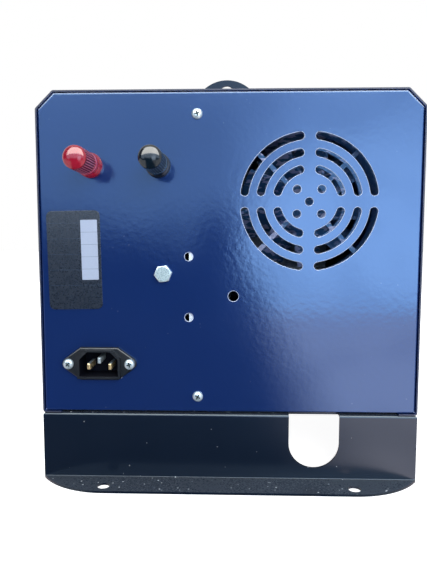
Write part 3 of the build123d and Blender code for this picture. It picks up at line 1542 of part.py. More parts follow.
def make_fuel_lines():
    return group([make_line(suction_route, fuel_hose_d, fuel_hose_bore),
                  make_line(pressure_route, fuel_hose_d, fuel_hose_bore)])


def make_wiring():
    leads = [make_line(mains_route, mains_lead_d)]
    leads += [make_line(route, power_lead_d) for route in (red_route, black_route, heater_route)]
    return group(leads)


# ---------------------------------------------------------------- every node
def build():
    lower_shell, upper_shell = make_shells()
    inlet_screws, inlet_nuts = make_inlet_fixings()
    post_bushes, post_studs, post_nuts = make_post_hardware()
    nodes = {
        "case_cover": make_cover(),
        "rear_panel": make_rear_panel(),
        "front_panel": make_front_panel(),
        "base_tray": make_base(),
        "partition": make_partition(),
        "case_screws": make_case_screws(),
        "rating_plate": make_rating_plate(),
        "mains_inlet": make_inlet(),
        "mains_inlet_pins": make_inlet_pins(),
        "mains_inlet_screws": inlet_screws,
        "mains_inlet_nuts": inlet_nuts,
        "post_bushes": post_bushes,
        "post_studs": post_studs,
        "post_nuts": post_nuts,
        "red_post_knob": make_post_knob(post_red_x),
        "red_post_collar": make_post_collar(post_red_x),
        "black_post_knob": make_post_knob(post_black_x),
        "black_post_collar": make_post_collar(post_black_x),
        "handle_lugs": make_lugs(),
        "handle_lug_screws": make_lug_screws(),
        "handle_bar": make_handle_bar(),
        "handle_grip": make_grip(),
        "heater_lower_shell": lower_shell,
        "heater_upper_shell": upper_shell,
        "intake_guard": make_intake_guard(),
        "air_impeller": make_impeller(),
        "combustion_impeller": make_burner_fan(),
        "blower_shaft": make_shaft(),
        "blower_motor": make_motor(),
        "burner_head": make_burner_head(),
        "flame_tube": make_flame_tube(),
        "heat_exchanger": make_exchanger(),
        "glow_plug": make_glow_plug(),
        "heater_foot_gasket": make_gasket(),
        "heater_bolts": make_heater_bolts(),
        "heater_control_unit": make_control_board(),
        "outlet_duct": make_outlet_duct(),
        "swivel_outlet": make_swivel_outlet(),
        "exhaust_pipe": make_pipe(exhaust_stub_at),
        "combustion_air_pipe": make_pipe(air_stub_at),
        "pipe_clamps": make_pipe_clamps(),
        "heater_shelf": make_heater_shelf(),
        "tank_shelf": make_tank_shelf(),
        "fuel_tank": make_tank(),
        "filler_grommet": make_filler_grommet(),
        "fuel_cap": make_fuel_cap(),
        "fuel_cap_seal": make_cap_seal(),
        "fuel_lines": make_fuel_lines(),
        "dosing_pump": make_pump(),
        "dosing_pump_plunger": make_plunger(),
        "dosing_pump_clip": make_pump_clip(),
        "dosing_pump_buffer": make_pump_buffer(),
        "dosing_pump_bolt": make_pump_bolt(),
        "power_supply": make_power_supply(),
        "control_panel": make_control_panel(),
        "display_window": make_screen(),
        "wiring_harness": make_wiring(),
    }
    names = ("power_button", "warmer_button", "cooler_button")
    for name, (x, z) in zip(names, button_places()):
        nodes[name] = make_button(x, z)
    return nodes


os.makedirs("parts", exist_ok=True)
for node_name, node_shape in build().items():
    export_step(node_shape, f"parts/{node_name}.step")
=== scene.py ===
# %% [markdown]
# # A portable diesel air heater
# The heater is a folded steel case on a black base. This notebook dresses its CAD solids, which come from
# a shared frame in metres: X runs to the right of someone facing the rear panel, Y to the front, Z up.

# %% Load the frame
import bmesh
import bpy
import json
from math import cos, pi, radians
from mathutils import Matrix, Vector


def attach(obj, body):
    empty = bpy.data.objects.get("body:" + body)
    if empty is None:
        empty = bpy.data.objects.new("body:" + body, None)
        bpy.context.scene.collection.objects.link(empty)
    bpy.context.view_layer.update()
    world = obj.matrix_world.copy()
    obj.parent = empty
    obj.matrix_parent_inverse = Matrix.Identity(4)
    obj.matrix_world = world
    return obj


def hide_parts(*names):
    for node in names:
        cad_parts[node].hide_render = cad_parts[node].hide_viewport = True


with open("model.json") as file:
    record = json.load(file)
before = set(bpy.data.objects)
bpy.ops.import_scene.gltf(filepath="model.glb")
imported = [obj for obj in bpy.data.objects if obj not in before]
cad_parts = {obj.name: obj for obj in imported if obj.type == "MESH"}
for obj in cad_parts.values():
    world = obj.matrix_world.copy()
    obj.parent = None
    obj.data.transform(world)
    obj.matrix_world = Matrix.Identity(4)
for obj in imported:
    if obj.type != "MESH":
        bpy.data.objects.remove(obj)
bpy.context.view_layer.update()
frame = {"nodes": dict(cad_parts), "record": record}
nodes = frame["nodes"]
record = frame["record"]
for imported in list(bpy.data.materials):
    bpy.data.materials.remove(imported)
MM = 0.001
print("nodes loaded:", len(nodes))

# %% [markdown]
# ## Places from the frame
# The record of the CAD part says where things turn and where others plug in. The looks are placed by these
# points where there is one, and by sizes in millimetres elsewhere.

# %% Places from the frame
origins = {item["name"]: Vector(item["pos_m"])
           for item in record["mounts"] + record["behaviour"]["joints"] if "pos_m" in item}
INLET = origins["mains_inlet_socket"]
CAP_AXIS = origins["cap_turn"]
HANDLE_AXIS = origins["handle_fold"]
HEATER_AXIS = origins["blower_spin"]
ROOF_Z = 252.5 * MM
print("places named by the record:", len(origins))

# %% [markdown]
# ## Camera first
# The photograph was taken from close by and a little above the middle of the panel, so the camera goes
# there before anything is shaded. A vertical sensor fit ties the lens to the picture's long side.

# %% Camera
IMAGE_HEIGHT = 571
FOCAL_PIXELS = 537.3
SENSOR = 36.0


def put_in_scene(name, data):
    obj = bpy.data.objects.new(name, data)
    bpy.context.scene.collection.objects.link(obj)
    return obj


camera_data = bpy.data.cameras.new("camera")
camera_data.sensor_fit = "VERTICAL"
camera_data.sensor_height = SENSOR
camera_data.lens = FOCAL_PIXELS / IMAGE_HEIGHT * SENSOR
camera = put_in_scene("camera", camera_data)
camera.location = Vector((0.6, -544.0, 159.4)) * MM
camera.rotation_euler = Vector((-0.030, 0.9958, -0.0869)).to_track_quat("-Z", "Y").to_euler()
bpy.context.scene.camera = camera
print("lens in mm:", round(camera_data.lens, 2))

# %% [markdown]
# ## Helpers for nodes
# A finish is a sum over many small nodes. A small class for the output of a node lets such a sum be written
# as a formula: each plus, minus or times between wires adds a Math node.

# %% Wires between nodes
def feed(socket, value):
    if isinstance(value, Wire):
        socket.id_data.links.new(value.socket, socket)
    else:
        socket.default_value = value


def feed_all(node, **values):
    """Link inputs to wires or set them to plain values. Names have _ for a space."""
    for name, value in values.items():
        feed(node.inputs[name.replace("_", " ")], value)
    return node


class Wire:
    def __init__(self, socket):
        self.socket = socket
        self.tree = socket.id_data

    def math(self, operation, other=0.0, clamp=False):
        node = self.tree.nodes.new("ShaderNodeMath")
        node.operation = operation
        node.use_clamp = clamp
        feed(node.inputs[0], self)
        feed(node.inputs[1], other)
        return Wire(node.outputs[0])

    def __add__(self, other):
        return self.math("ADD", other)

    def __sub__(self, other):
        return self.math("SUBTRACT", other)

    def __rsub__(self, other):
        return self * -1.0 + other

    def __mul__(self, other):
        return self.math("MULTIPLY", other)

    def __abs__(self):
        return self.math("ABSOLUTE")


print("wires can be added, subtracted and multiplied")

# %% [markdown]
# Soft steps, noise, mixed colours and the parts of a vector are needed as often as sums. The Mix node has
# sockets for every kind of data, and in colour mode A and B are its sockets 6 and 7.

# %% Steps, patterns and colours
def new_node(tree, kind, **values):
    return feed_all(tree.nodes.new("ShaderNode" + kind), **values)


def outputs_of(node):
    return {socket.name: Wire(socket) for socket in node.outputs}


def ramp(wire, low, high, to_low=0.0, to_high=1.0):
    """Go smoothly from to_low, where the wire is low, to to_high, where it is high."""
    node = new_node(wire.tree, "MapRange", Value=wire, From_Min=low, From_Max=high, To_Min=to_low,
                    To_Max=to_high)
    node.interpolation_type = "SMOOTHSTEP"
    return Wire(node.outputs[0])


def noise(vector, scale, detail=3.0, rough=0.5):
    node = new_node(vector.tree, "TexNoise", Vector=vector, Scale=scale, Detail=detail, Roughness=rough)
    return Wire(node.outputs["Fac"])


def mix_colors(share, a, b):
    node = new_node(share.tree, "Mix")
    node.data_type = "RGBA"
    for index, value in ((0, share), (6, a), (7, b)):
        feed(node.inputs[index], value)
    return Wire(node.outputs[2])


def split(vector):
    return [Wire(socket) for socket in new_node(vector.tree, "SeparateXYZ", Vector=vector).outputs]


print("helpers for patterns are ready")

# %% [markdown]
# ## Node groups
# An effect that several finishes share is built once as a group. Each group reads the coordinates it is
# given and puts out values or colours only, so every material keeps its own Principled BSDF.

# %% A helper that opens a new node group
SOCKETS = {"color": "NodeSocketColor", "vector": "NodeSocketVector", "value": "NodeSocketFloat"}


def new_group(name, inputs, outputs):
    """Inputs are (name, kind, default) and outputs are (name, kind)."""
    tree = bpy.data.node_groups.new(name, "ShaderNodeTree")
    for socket, kind, default in inputs:
        made = tree.interface.new_socket(name=socket, in_out="INPUT", socket_type=SOCKETS[kind])
        if default is not None:
            made.default_value = default
    for socket, kind in outputs:
        tree.interface.new_socket(name=socket, in_out="OUTPUT", socket_type=SOCKETS[kind])
    print("node group:", name)
    return tree, outputs_of(tree.nodes.new("NodeGroupInput")), tree.nodes.new("NodeGroupOutput")


print("kinds of socket:", ", ".join(SOCKETS))

# %% [markdown]
# Powder coat melts into a skin with a faint orange peel: shallow waves about 3 mm apart. The group gives
# their height and a slow drift in roughness, which breaks up reflections the way real sheet metal does.

# %% Orange peel
DENT_DEPTH = 6.0
DRIFT_REACH = 0.12

peel, given, result = new_group(
    "orange_peel",
    [("Vector", "vector", None), ("Scale", "value", 300.0), ("Roughness", "value", 0.3)],
    [("Height", "value"), ("Roughness", "value")])
waves = noise(given["Vector"], given["Scale"], 2.0)
dents = noise(given["Vector"], 9.0, 1.0)
drift = noise(given["Vector"], 14.0, 2.0) - 0.5
feed_all(result, Height=waves + dents * DENT_DEPTH, Roughness=given["Roughness"] + drift * DRIFT_REACH)

# %% [markdown]
# Dust lies on everything that faces up, and a few pale specks cling to upright faces. A Voronoi cell whose
# distance is very small makes a speck, and a noise decides which cells carry one. A level face gets more
# of them, because there the noise has a head start.

# %% Dust and specks
HEAD_START = 0.17
SPECK_COLOR = (0.70, 0.76, 0.82, 1.0)
DUST_ROUGHNESS = 0.45

dust, given, result = new_group(
    "dust_and_specks",
    [("Vector", "vector", None), ("Normal", "vector", None), ("Color", "color", (0.5, 0.5, 0.5, 1)),
     ("Dust Color", "color", (0.36, 0.35, 0.34, 1)), ("Film", "value", 0.3), ("Specks", "value", 0.5),
     ("Roughness", "value", 0.3)],
    [("Color", "color"), ("Roughness", "value")])
cells = outputs_of(new_node(dust, "TexVoronoi", Scale=260.0, Vector=given["Vector"]))
facing_up = ramp(split(given["Normal"])[2], 0.93, 0.99)
chance = noise(given["Vector"], 190.0, 1.0) + facing_up * HEAD_START
speck = ramp(cells["Distance"], 0.17, 0.10) * ramp(chance, 0.66, 0.70) * given["Specks"]
cloud = ramp(noise(given["Vector"], 900.0, 6.0, 0.7), -0.10, 0.95)
film = facing_up * cloud * given["Film"]
filmed = mix_colors(film, given["Color"], given["Dust Color"])
rougher = film.math("MAXIMUM", speck) * DUST_ROUGHNESS
feed_all(result, Color=mix_colors(speck, filmed, SPECK_COLOR),
         Roughness=given["Roughness"].math("ADD", rougher, clamp=True))

# %% [markdown]
# Moulded plastic and rubber have a fine spark-eroded grain. Zinc, castings and pressed sheet have a cloudy
# tone. One group serves both: a fine height, and a colour that wanders between two tones.

# %% Grain and cloudy tone
grain, given, result = new_group(
    "grain_and_tone",
    [("Vector", "vector", None), ("Color A", "color", (0.5, 0.5, 0.5, 1)),
     ("Color B", "color", (0.4, 0.4, 0.4, 1)), ("Tone Scale", "value", 40.0),
     ("Grain Scale", "value", 2500.0), ("Roughness", "value", 0.4), ("Spread", "value", 0.15)],
    [("Color", "color"), ("Roughness", "value"), ("Height", "value")])
tone = ramp(noise(given["Vector"], given["Tone Scale"], 5.0, 0.6), 0.3, 0.7)
wander = (tone - 0.5) * given["Spread"]
feed_all(result, Color=mix_colors(tone, given["Color A"], given["Color B"]),
         Roughness=given["Roughness"].math("ADD", wander, clamp=True),
         Height=noise(given["Vector"], given["Grain Scale"], 2.0))

# %% [markdown]
# Drawn tube and turned steel carry fine lines in one direction. Stretching the coordinates before a noise
# turns its grains into such lines.

# %% Brushed lines
LINE_REACH = 0.3

brush, given, result = new_group(
    "brushed_lines",
    [("Vector", "vector", None), ("Stretch", "vector", (3000.0, 30.0, 3000.0)), ("Roughness", "value", 0.3)],
    [("Height", "value"), ("Roughness", "value")])
stretch = new_node(brush, "VectorMath")
stretch.operation = "MULTIPLY"
feed(stretch.inputs[0], given["Vector"])
feed(stretch.inputs[1], given["Stretch"])
lines = noise(Wire(stretch.outputs[0]), 1.0)
wander = (lines - 0.5) * LINE_REACH
feed_all(result, Height=lines, Roughness=given["Roughness"].math("ADD", wander, clamp=True))

# %% [markdown]
# ## Finishes
# A finish starts as a material with its Principled BSDF and the coordinates. Each kind of surface then adds
# its groups. Colours are written as they look, in 0 to 255, and turned into Blender's linear values.

# %% Finish helpers
finishes = {}


def linear(*rgb):
    def one(value):
        share = value / 255
        return share / 12.92 if share <= 0.04045 else ((share + 0.055) / 1.055) ** 2.4
    return tuple(one(value) for value in rgb) + (1.0,)


def start_finish(name, metallic=0.0, **constants):
    material = bpy.data.materials.new(name)
    material.use_nodes = True
    finishes[name] = material
    tree = material.node_tree
    shader = feed_all(tree.nodes["Principled BSDF"], Metallic=metallic, **constants)
    return shader, outputs_of(new_node(tree, "TexCoord"))


def place_group(group, vector, **values):
    node = new_node(vector.tree, "Group")
    node.node_tree = group
    return outputs_of(feed_all(node, Vector=vector, **values))


def surface(shader, colored, rough, height, depth):
    """Depth is that of the relief, in metres."""
    bump = new_node(shader.id_data, "Bump", Distance=depth, Strength=1.0, Height=height)
    feed_all(shader, Normal=Wire(bump.outputs["Normal"]), Base_Color=colored, Roughness=rough)


print("a middle grey of 128 is", round(linear(128)[0], 3), "in linear values")

# %% [markdown]
# The case and the base are powder coated, navy above and black below. The navy has a thin clear coat over a
# soft, blue-tinted sheen. Where a sheet is bent or cut, the edge has a finish of its own: a painted
# highlight, pale, on the bends and bevels of the rear panel, and a painted shade, dark, on the cut rims of
# the cover.

# %% Powder coats
def powder_coat(name, color, roughness, peel_depth, film, specks, dust_color=(120, 128, 145), **constants):
    shader, where = start_finish(name, **constants)
    skin = place_group(peel, where["Object"], Roughness=roughness)
    dusty = place_group(dust, where["Object"], Normal=where["Normal"], Color=linear(*color), Film=film,
                        Dust_Color=linear(*dust_color), Specks=specks, Roughness=skin["Roughness"])
    surface(shader, dusty["Color"], dusty["Roughness"], skin["Height"], peel_depth * MM)


powder_coat("navy_paint", (18, 42, 96), 0.13, 0.06, 0.06, 0.05, Specular_IOR_Level=1.0,
            Specular_Tint=(0.42, 0.66, 1.0, 1.0), Coat_Weight=0.10, Coat_Roughness=0.10)
powder_coat("black_paint", (13, 26, 44), 0.22, 0.03, 0.22, 1.0, (158, 168, 180), Specular_IOR_Level=0.45,
            Specular_Tint=(0.80, 0.92, 1.0, 1.0))
# painted highlight: the pale finish of bevels and bends that catch the light
powder_coat("paint_edge", (186, 200, 230), 0.30, 0.01, 0.0, 0.0)
# painted shade: the dark finish of the cover's cut rims
powder_coat("cut_edge", (22, 30, 50), 0.60, 0.02, 0.0, 0.1)
print("finishes so far:", len(finishes))

# %% [markdown]
# Zinc plating, cast aluminium and brass differ in tone and in how far their reflections blur. A little less
# than full metallic keeps zinc pale where it mirrors something dark. Drawn steel has lines instead.

# %% Metals
def cloudy_metal(name, color_a, color_b, roughness, tone_scale, grain_scale=1800.0, depth=0.01, spread=0.15,
                 metallic=1.0):
    shader, where = start_finish(name, metallic=metallic)
    mix = place_group(grain, where["Object"], Color_A=linear(*color_a), Color_B=linear(*color_b),
                      Tone_Scale=tone_scale, Grain_Scale=grain_scale, Roughness=roughness, Spread=spread)
    surface(shader, mix["Color"], mix["Roughness"], mix["Height"], depth * MM)


def brushed_metal(name, color, roughness, stretch_by):
    shader, where = start_finish(name, metallic=1.0)
    drawn = place_group(brush, where["Object"], Stretch=stretch_by, Roughness=roughness)
    surface(shader, linear(*color), drawn["Roughness"], drawn["Height"], 0.005 * MM)


cloudy_metal("zinc_sheet", (206, 212, 222), (190, 198, 208), 0.40, 55.0, metallic=0.6)
cloudy_metal("zinc_worn", (184, 202, 206), (116, 138, 146), 0.42, 1300.0, metallic=0.5, spread=0.3)
cloudy_metal("zinc_hardware", (196, 212, 220), (168, 186, 196), 0.34, 900.0, metallic=0.55)
# painted shade for the recess of a screw
cloudy_metal("recess_shade", (74, 92, 98), (58, 74, 80), 0.5, 900.0, metallic=0.3)
cloudy_metal("cast_aluminium", (186, 188, 190), (160, 162, 166), 0.48, 80.0, 900.0, 0.06)
cloudy_metal("brass_pins", (232, 214, 170), (214, 190, 140), 0.28, 300.0, metallic=0.7)
brushed_metal("steel", (178, 180, 184), 0.32, (60.0, 60.0, 4000.0))
brushed_metal("stainless", (196, 197, 198), 0.24, (3000.0, 40.0, 3000.0))
print("finishes so far:", len(finishes))

# %% [markdown]
# Plastics and rubbers share one recipe: two close tones, a fine grain, and a gloss level of their own.

# %% Plastics and rubbers
def moulded(name, color_a, color_b, roughness, grain_scale=1600.0, depth=0.04, film=0.0, **constants):
    shader, where = start_finish(name, **constants)
    mix = place_group(grain, where["Object"], Color_A=linear(*color_a), Color_B=linear(*color_b),
                      Tone_Scale=50.0, Grain_Scale=grain_scale, Roughness=roughness, Spread=0.12)
    dusty = place_group(dust, where["Object"], Normal=where["Normal"], Color=mix["Color"], Specks=0.0,
                        Dust_Color=linear(150, 150, 150), Film=film, Roughness=mix["Roughness"])
    surface(shader, dusty["Color"], dusty["Roughness"], mix["Height"], depth * MM)


# painted shade: the black of a recess that swallows the light
moulded("deep_black", (7, 10, 22), (5, 7, 16), 0.6, Specular_IOR_Level=0.1)
moulded("matte_black_plastic", (15, 23, 31), (11, 17, 24), 0.36, film=0.06)
moulded("tank_plastic", (226, 226, 216), (214, 215, 204), 0.42, 500.0, 0.05, Subsurface_Weight=0.15)
moulded("fuel_hose", (26, 26, 27), (20, 20, 21), 0.5)
moulded("lead_insulation", (40, 40, 42), (32, 32, 34), 0.42)
moulded("black_rubber", (28, 28, 29), (36, 36, 37), 0.62, 900.0, film=0.18)
moulded("handle_rubber", (30, 30, 31), (38, 38, 39), 0.58, 1100.0, 0.06, film=0.12)
moulded("symbol_print", (214, 218, 222), (205, 209, 214), 0.4, 1500.0, 0.005)
moulded("segment_print", (96, 116, 104), (88, 108, 96), 0.35, 1500.0, 0.005)
print("finishes so far:", len(finishes))

# %% [markdown]
# A binding post has a glossy cap over a ribbed barrel. In the deep ribs hardly any light arrives, so the
# barrel gets a painted shade, a darker tone of the same plastic, and the tops of the ribs get a painted
# highlight, a paler one. The posts are polished, so their grain is finer and shallower than that of the
# moulded parts.

# %% Post plastics
POLISHED = {"grain_scale": 900.0, "depth": 0.004}
LACQUERED = {"Coat_Roughness": 0.04, **POLISHED}

moulded("gloss_black_plastic", (12, 26, 38), (9, 20, 30), 0.16, Specular_IOR_Level=0.4, Coat_Weight=0.5,
        **LACQUERED)
moulded("gloss_red_plastic", (160, 24, 50), (142, 16, 42), 0.16, Specular_IOR_Level=0.45, Coat_Weight=0.4,
        **LACQUERED)
# painted shade of the barrels, between the ribs
moulded("red_barrel", (112, 14, 34), (96, 10, 28), 0.45, Specular_IOR_Level=0.35, **POLISHED)
moulded("black_barrel", (12, 17, 24), (9, 13, 19), 0.45, Specular_IOR_Level=0.35, **POLISHED)
# painted highlight on the tops of the ribs
moulded("red_ridge", (214, 112, 136), (196, 92, 118), 0.35, **POLISHED)
moulded("black_ridge", (80, 102, 118), (64, 84, 98), 0.35, **POLISHED)
print("finishes so far:", len(finishes))

# %% [markdown]
# Behind the grille the light falls in patches on the fan guard, so its finish has painted light, broken pale
# streaks, over a blue-black ground, which is painted shade. The streaks fade where the grille's right edge
# keeps the light out.

# %% Fan plastic with painted light and shade
shader, where = start_finish("streaked_fan")
slanted = new_node(shader.id_data, "Mapping", Rotation=(0, radians(38), 0), Scale=(1.0, 1.0, 3.5),
                   Vector=where["Object"])
patches = noise(Wire(slanted.outputs["Vector"]), 120.0, 2.0)
# painted light: pale patches where light falls, fading towards the grille's right edge
shade = ramp(patches, 0.51, 0.57) * ramp(split(where["Object"])[0], 0.085, 0.060, 0.15, 1.0)
colored = mix_colors(shade, linear(50, 104, 160), linear(176, 190, 236))
mix = place_group(grain, where["Object"], Roughness=0.55)
surface(shader, colored, mix["Roughness"], patches, 0.4 * MM)
print("finishes so far:", len(finishes))

# %% [markdown]
# The rating plate is a thin dark film. Its printed table is left bare: only fine rules part the rows. The
# rules come from where a point lies on the plate, which leans by one degree, so a Mapping node turns them.

# %% Rating plate film
PLATE_CENTRE = Vector((-99.65, -199.7, 145.4)) * MM
PLATE_LEAN = radians(1.0)
ROWS = 5
STRIP_PITCH = 7.9
TABLE_PITCH = STRIP_PITCH * 1.27


def plate_film(name, ground, rule, first_row, pitch, rule_width):
    """The rows are counted down from first_row. Their sizes are in millimetres."""
    shader, where = start_finish(name, Coat_Weight=0.4, Coat_Roughness=0.12)
    turned = new_node(shader.id_data, "Mapping", Location=PLATE_CENTRE, Rotation=(0, -PLATE_LEAN, 0),
                      Vector=where["Object"])
    turned.vector_type = "TEXTURE"
    z = split(Wire(turned.outputs["Vector"]))[2]
    rules = [ramp(abs(z - (first_row - row * pitch) * MM), rule_width * MM, rule_width * 0.4 * MM)
             for row in range(ROWS)]
    ruled = rules[0]
    for line in rules[1:]:
        ruled = ruled.math("MAXIMUM", line)
    darker = tuple(0.9 * channel for channel in ground)
    mix = place_group(grain, where["Object"], Color_A=ground, Color_B=darker, Tone_Scale=900.0, Roughness=0.3)
    surface(shader, mix_colors(ruled, mix["Color"], rule), mix["Roughness"], mix["Height"], 0.004 * MM)


plate_film("plate_dark", linear(22, 34, 50), linear(44, 60, 82), 24.0, TABLE_PITCH, 0.16)
plate_film("plate_strip", linear(172, 186, 212), linear(120, 134, 162), 18.0, STRIP_PITCH, 0.18)
print("rules on each film:", ROWS)

# %% [markdown]
# The display sits behind a smoked window. Nothing lies behind it that real glass would show, so a
# near-black surface under a full clear coat looks the same and renders faster.

# %% Window finish
shader, where = start_finish("window_glass", Coat_Weight=1.0, Coat_Roughness=0.03)
mix = place_group(grain, where["Object"], Color_A=linear(20, 26, 28), Color_B=linear(24, 31, 32),
                  Roughness=0.12, Spread=0.02)
feed_all(shader, Base_Color=mix["Color"], Roughness=mix["Roughness"])
print("finishes:", len(finishes))

# %% [markdown]
# ## Dressing the solids
# Every node gets the finish that is named like its slot in the record. Nodes that show only through the
# grille share the fan finish with its painted light and shade.

# %% Dress the CAD nodes
BEHIND_GRILLE = ("intake_guard", "air_impeller", "blower_motor", "heater_upper_shell", "heater_lower_shell",
                 "heater_control_unit")

finishes["plate_film"] = finishes["plate_dark"]
slot_of = {part["node"]: part["material_slot"] for part in record["subparts"]}
body_of = {node: body for body, members in record["behaviour"]["bodies"].items() for node in members}
for node, obj in nodes.items():
    obj.data.materials.clear()
    obj.data.materials.append(finishes["streaked_fan" if node in BEHIND_GRILLE else slot_of[node]])
print("nodes dressed:", len(nodes))

# %% [markdown]
# ## Shapes
# `show_mesh` puts a finished mesh in the scene and ties it to the body that it rides on. Where it stands for
# a CAD node, the node is hidden. Relief that lies on a node, such as print, leaves the node in sight.

# %% Show a piece
def show_mesh(name, mesh, node, replaced=True, smooth=None):
    if smooth:
        mesh.shade_smooth()
        mesh.set_sharp_from_angle(angle=radians(smooth))
    piece = put_in_scene(name, mesh)
    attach(piece, body_of[node])
    if replaced:
        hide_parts(node)
    print(name, "has", len(mesh.polygons), "faces")
    return piece


def paint_faces(piece, finish, chosen):
    """Give the faces that chosen(face) picks another finish."""
    materials = piece.data.materials
    if finish not in materials:
        materials.append(finishes[finish])
    picked = [face for face in piece.data.polygons if chosen(face)]
    for face in picked:
        face.material_index = materials.find(finish)
    print(piece.name, "has", len(picked), "faces in", finish)


print("bodies:", len(set(body_of.values())))

# %% [markdown]
# New pieces are shaped as a bmesh. Doubles are merged before the normals are turned outwards, because a spin
# leaves a seam. Most parts of the heater are turned or moulded round an axis, so one helper spins an outline.

# %% Keep and spin a bmesh
MERGE = 0.002 * MM
SLIVER = 0.001 * MM


def to_mesh(name, bm):
    mesh = bpy.data.meshes.new(name)
    bm.to_mesh(mesh)
    bm.free()
    return mesh


def keep_piece(name, bm, node, finish=None, replaced=True, smooth=35.0):
    """Turn the bmesh into a piece of its node. Without a finish it takes that of the node's slot."""
    bmesh.ops.remove_doubles(bm, verts=bm.verts, dist=MERGE)
    bmesh.ops.dissolve_degenerate(bm, edges=bm.edges, dist=SLIVER)
    bmesh.ops.recalc_face_normals(bm, faces=bm.faces)
    mesh = to_mesh(name, bm)
    mesh.materials.append(finishes[finish or slot_of[node]])
    return show_mesh(name, mesh, node, replaced, smooth)


def spin_profile(bm, profile, centre, axis, across, steps):
    """Spin points of (radius, distance along the axis), in millimetres, round an axis through centre."""
    axis = Vector(axis)
    across = Vector(across)
    made = [bm.verts.new(centre + across * (radius * MM) + axis * (along * MM)) for radius, along in profile]
    edges = [bm.edges.new(pair) for pair in zip(made, made[1:])]
    bmesh.ops.spin(bm, geom=made + edges, cent=centre, axis=axis, angle=2 * pi, steps=steps, use_merge=True)
    bmesh.ops.remove_doubles(bm, verts=bm.verts, dist=MERGE)


print("doubles merge within", MERGE / MM, "mm")

# %% [markdown]
# A folded or moulded part has no razor edges. For parts whose CAD shape is right, a copy of the mesh is
# merged, its flat triangles are joined, and a narrow bevel is put on every sharp edge. The bevel catches a
# thin line of light, which is what makes an edge look real.

# %% Copy a node with softened edges
FLAT = radians(0.6)
SHARP_SHADING = radians(40.0)
FACE_FIRST = 100  # the largest faces alone decide the shading


def merged_copy(node):
    bm = bmesh.new()
    bm.from_mesh(nodes[node].data)
    bmesh.ops.remove_doubles(bm, verts=bm.verts, dist=MERGE)
    bmesh.ops.dissolve_limit(bm, angle_limit=FLAT, verts=bm.verts, edges=bm.edges)
    mesh = to_mesh(node + "_soft", bm)
    mesh.materials.clear()
    mesh.materials.append(nodes[node].data.materials[0])
    return mesh


def baked(holder):
    """The object's mesh as its modifiers leave it. The object itself is removed."""
    bpy.context.view_layer.update()
    evaluated = holder.evaluated_get(bpy.context.evaluated_depsgraph_get())
    mesh = bpy.data.meshes.new_from_object(evaluated)
    bpy.data.objects.remove(holder)
    return mesh


def soften(node, width, segments=2, sharp=30.0, edges=None, rims=None, clamp=True):
    """Edges is the finish of the bevels, rims that of faces that look along Y, as a sheet's cut ends do."""
    mesh = merged_copy(node)
    if edges or rims:
        mesh.materials.append(finishes[edges or rims])
    if rims:
        for face in mesh.polygons:
            face.material_index = int(abs(face.normal.y) > 0.9)
    mesh.shade_smooth()
    mesh.set_sharp_from_angle(angle=SHARP_SHADING)
    holder = put_in_scene(node + "_holder", mesh)
    bevel = holder.modifiers.new("bevel", "BEVEL")
    bevel.width = width * MM
    bevel.segments = segments
    bevel.limit_method = "ANGLE"
    bevel.angle_limit = radians(sharp)
    bevel.material = 1 if edges else -1
    bevel.use_clamp_overlap = clamp
    flatter = holder.modifiers.new("flatter", "WEIGHTED_NORMAL")
    flatter.keep_sharp = True
    flatter.weight = FACE_FIRST
    return show_mesh(node + "_piece", baked(holder), node)


print("edges count as flat below", round(FLAT * 180 / pi, 1), "degrees")

# %% [markdown]
# ## Sheet metal
# The rear panel has slots as narrow as its bevels, so its bevels may overlap. Its bevels and its upper
# bends get the pale edge finish, a painted highlight for the light that falls on them.

# %% Panels, cover and base
UPPER_BENDS_Z = 225.0 * MM


def is_upper_bend(face):
    return face.normal.z > 0.3 and 0.35 < -face.normal.y < 0.92 and face.center.z > UPPER_BENDS_Z


# painted highlight on the bevels and upper bends of the rear panel
panel = soften("rear_panel", 0.32, sharp=40.0, edges="paint_edge", clamp=False)
paint_faces(panel, "paint_edge", is_upper_bend)
# painted shade on the cut rims of the cover
soften("case_cover", 0.15, rims="cut_edge")
soften("base_tray", 0.18)
soften("front_panel", 0.2)
soften("handle_lugs", 0.45, 3)

# %% [markdown]
# ## Mains inlet
# The inlet is a moulded frame round a deep recess with three pins. The recess swallows the light, so its
# faces get a painted shade, blacker than the frame. The pin in the middle is bright, and the other two are
# brass.

# %% Mains inlet and pins
RECESS_HALF_WIDTH = 14.2 * MM
RECESS_HALF_HEIGHT = 11.3 * MM
RECESS_RIM_Y = -201.5 * MM


def is_recess(face):
    offset = face.center - INLET
    beside = abs(offset.x) < RECESS_HALF_WIDTH and abs(offset.z) < RECESS_HALF_HEIGHT
    return beside and face.center.y > RECESS_RIM_Y


# the faces inside the inlet's recess get the painted shade
paint_faces(soften("mains_inlet", 0.4, 3), "deep_black", is_recess)
paint_faces(soften("mains_inlet_pins", 0.15), "zinc_hardware", lambda face: face.center.z > INLET.z)

# %% [markdown]
# The hex bolt was turned with a spanner, so the zinc on the end of its head is worn and mottled. The plate,
# and on the front the control panel and the outlet with its louvre, need softer edges only.

# %% Hex bolt, plate and front parts
paint_faces(soften("dosing_pump_bolt", 0.18), "zinc_worn", lambda face: face.normal.y < -0.98)
soften("rating_plate", 0.12)
soften("control_panel", 0.25)
soften("outlet_duct", 0.4)
soften("swivel_outlet", 0.35)
